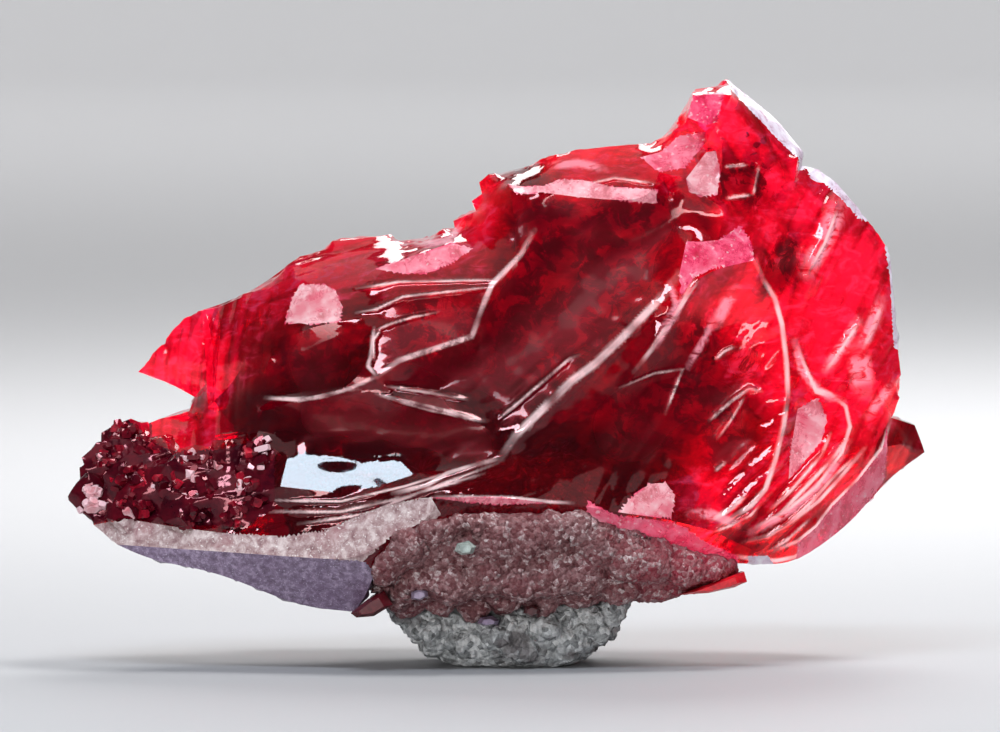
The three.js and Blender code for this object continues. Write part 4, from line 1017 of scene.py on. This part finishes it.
def scattered_crystals(material):
    """Tiny stubby crystals all over the lower left cluster, each a cube with its corners cut."""
    random = np.random.default_rng(7)
    every = bmesh.new()
    one = bpy.data.meshes.new("one_crystal")
    tones = []
    for x, y, z, radius in CLUSTER_SPOTS:
        for _ in range(CRYSTALS_PER_SPOT):
            way = random.normal(size=3)
            way[1] = -abs(way[1])
            way /= np.linalg.norm(way)
            size = random.uniform(0.22, 0.62) * (0.6 + 0.3 * radius)
            bm = bmesh.new()
            bmesh.ops.create_cube(bm, size=1.0)
            bmesh.ops.bevel(
                bm, geom=bm.verts[:], offset=random.uniform(0.15, 0.4), offset_type="OFFSET", segments=1,
                profile=0.5, affect="VERTICES", material=-1,
            )
            turn = Euler(random.uniform(0, 6.28, 3)).to_matrix().to_4x4()
            wide, high = size * random.uniform(0.6, 1.1), size * random.uniform(0.9, 2.0)
            grow = Matrix.Diagonal((wide, size, high, 1))
            place = Matrix.Translation(Vector((x, y, z)) + Vector(way * radius * 0.8))
            bmesh.ops.transform(bm, matrix=place @ turn @ grow, verts=bm.verts)
            bm.to_mesh(one)
            bm.free()
            every.from_mesh(one)
            # Pale tone for the whitish crystals at the far left, and at random for a painted glint on about
            # one crystal in seven.
            pale = x < -27.5 and z < 13 or random.random() < 0.14
            tone = random.uniform(0.7, 0.95) if pale else random.uniform(0, 0.4)
            tones += [tone] * len(one.vertices)
    bpy.data.meshes.remove(one)
    to_frame(every)
    paint(loose_piece(every, "tiny_crystals", material), "tone", tones)


def inclusions(material):
    """Dark flakes sealed in the gem, seen through it as cloudy spots."""
    random = np.random.default_rng(19)
    bm = bmesh.new()
    for x, z, spread, count in CLOUDS:
        for _ in range(count):
            made = bmesh.ops.create_icosphere(bm, subdivisions=1, radius=1.0)["verts"]
            size = random.uniform(0.06, 0.24, 3) * [1.3, 0.35, 1.0]
            turn = Euler((random.uniform(-0.6, 0.6), random.uniform(0, 6.28), 0)).to_matrix().to_4x4()
            across, depth, up = random.normal(), random.uniform(-1.5, 3.0), random.normal()
            middle = Matrix.Translation((x + across * spread, depth, z + up * spread))
            place = middle @ turn @ Matrix.Diagonal((*size, 1))
            bmesh.ops.transform(bm, matrix=place, verts=made)
    to_frame(bm)
    loose_piece(bm, "dark_inclusions", material)


def loose_piece(bm, name, material):
    """Makes a piece that no CAD node stands for."""
    piece = mesh_object(name, bm)
    piece.data.materials.append(material)
    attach(piece, "root")
    return piece


# The cluster's larger crystals, as in the solid: [x, y, z, radius].
CLUSTER_SPOTS = [
    [-28.1, -3.4, 11.7, 1.5], [-27.1, -3.2, 14.4, 1.4], [-26.2, -1.6, 15.9, 1.3],
    [-25.6, -4.4, 13, 1.7], [-24.2, -3.5, 14.9, 1.3], [-23, -5, 12.7, 1.8], [-21.4, -4.9, 14, 1.5],
    [-20, -5.9, 12.4, 1.7], [-18.6, -5.2, 14.3, 1.6], [-17.3, -6.5, 12.3, 1.6],
    [-16.6, -6.2, 14.9, 1.4], [-25.6, -5.5, 11.4, 1.4], [-21.6, -6.4, 11.2, 1.4],
    [-18.4, -6.9, 11, 1.3],
]

# Dark clouds in the gem: [x, z, spread, flakes].
CLOUDS = [
    [6.8, 27.9, 0.7, 9], [5.4, 26.6, 0.6, 8], [3.8, 25.4, 0.8, 9], [0.3, 25.2, 0.8, 7],
    [8.2, 29.9, 0.6, 8], [8.7, 30.9, 0.5, 6], [1.8, 20.2, 0.8, 6], [17.5, 36, 0.8, 9],
    [19.5, 27.4, 0.4, 6], [12.8, 19.8, 0.8, 7], [-12.5, 21, 1.2, 7], [14, 22, 0.9, 6],
]

grains = grain_group()
small_crystals = cluster_material()
crystal_piece(small_crystals)
scattered_crystals(small_crystals)
inclusions(inclusion_material())
rock_piece("brown_matrix", "brown_rock", brown_material(grains), 0.32, 0.15, 0.35, 0.9)
rock_piece("grey_foot", "grey_rock", grey_material(grains), 0.75, 0.42, 0.3, 0.0)

BIT_COLOURS = {
    "dark_red_blade": (0.12, 0.006, 0.012),
    "dark_red_grain": (0.1, 0.01, 0.015),
    "red_sliver": (0.75, 0.008, 0.02),
    "lavender_blade": (0.3, 0.22, 0.34),
    "lavender_chip": (0.34, 0.26, 0.36),
    "pale_grain": (0.45, 0.52, 0.48),
}
for node, colour in BIT_COLOURS.items():
    made, tree, shader = new_material(node + "_finish", Roughness=0.22)
    spots = level(tree, noise_at(tree, 1800, 4, 0.6), 0.35, 0.65)
    dark = tuple(0.5 * part for part in colour)
    tree.links.new(mixed(tree, spots, dark, colour), shader.inputs["Base Color"])
    node_object(node).data.materials.clear()
    node_object(node).data.materials.append(made)


# Stage

def area_light(name, place, target, size, power, colour=(1, 1, 1)):
    data = bpy.data.lights.new(name, "AREA")
    data.shape = "RECTANGLE"
    data.size, data.size_y = size
    data.energy = power
    data.color = colour
    light = new_object(name, data)
    light.location = place
    light.rotation_euler = (Vector(target) - Vector(place)).to_track_quat("-Z", "Y").to_euler()
    light.visible_camera = False


def sweep():
    """A round floor that curves up into a backdrop on every side."""
    bm = bmesh.new()
    bmesh.ops.create_circle(bm, cap_ends=True, segments=FLOOR_SIDES, radius=FLOOR_REACH)
    rings = [
        (FLOOR_REACH + FLOOR_BEND * math.sin(angle), FLOOR_BEND * (1 - math.cos(angle)))
        for angle in np.linspace(0, math.pi / 2, BEND_RINGS + 1)
    ]
    rings.append((rings[-1][0], rings[-1][1] + WALL_HEIGHT))
    for (low_radius, low), (high_radius, high) in zip(rings, rings[1:]):
        bmesh.ops.create_cone(
            bm, cap_ends=False, segments=FLOOR_SIDES, radius1=low_radius, radius2=high_radius,
            depth=high - low, matrix=Matrix.Translation((0, 0, (low + high) / 2)),
        )
    bmesh.ops.remove_doubles(bm, verts=bm.verts, dist=0.0005)
    bmesh.ops.recalc_face_normals(bm, faces=bm.faces)
    for face in bm.faces:
        face.smooth = True
    floor = mesh_object("floor", bm)
    material, _, _ = new_material("floor_paper", Base_Color=(0.42, 0.42, 0.43, 1), Roughness=0.6)
    floor.data.materials.append(material)


def camera():
    data = bpy.data.cameras.new("camera")
    data.sensor_width = SENSOR_WIDTH
    data.lens = SENSOR_WIDTH * CAMERA_DISTANCE / (PICTURE_WIDTH / PIXELS_PER_MM * MM)
    data.clip_start = 0.01
    item = new_object("camera", data)
    target = Vector((0.00007, -0.004, 0.0211)) + Vector((SHIFT[0] * MM, 0, 0))
    away = Vector((0, -math.cos(CAMERA_LIFT), math.sin(CAMERA_LIFT)))
    item.location = target + CAMERA_DISTANCE * away
    item.rotation_euler = (target - item.location).to_track_quat("-Z", "Y").to_euler()
    bpy.context.scene.camera = item


def world():
    scene_world = bpy.data.worlds.new("studio")
    scene_world.use_nodes = True
    background = scene_world.node_tree.nodes["Background"]
    background.inputs["Color"].default_value = (0.5, 0.5, 0.52, 1)
    background.inputs["Strength"].default_value = 0.12
    bpy.context.scene.world = scene_world
    bpy.context.scene.view_settings.view_transform = "Standard"


sweep()
world()
camera()
area_light("key", (0.12, -0.02, 0.34), (0, 0, 0.02), (0.12, 0.12), 0.75)
area_light(
    "front_box", (-0.045, -0.235, 0.3), (-0.01, -0.008, 0.014), (0.2, 0.05), 0.8, colour=(0.82, 0.9, 1.0)
)
area_light("low_fill", (-0.12, -0.42, 0.06), (0, 0, 0.01), (0.3, 0.06), 0.7)
area_light("behind", (0.06, 0.25, 0.2), (0, 0.3, 0.05), (0.3, 0.2), 1.2)
area_light("backdrop_wash", (0, 0.9, 1.1), (0, 2.1, 0.35), (1.4, 0.4), 24.0)
area_light("overhead", (0, 0, 1.7), (0, 0, 0), (2.0, 2.0), 8.0)
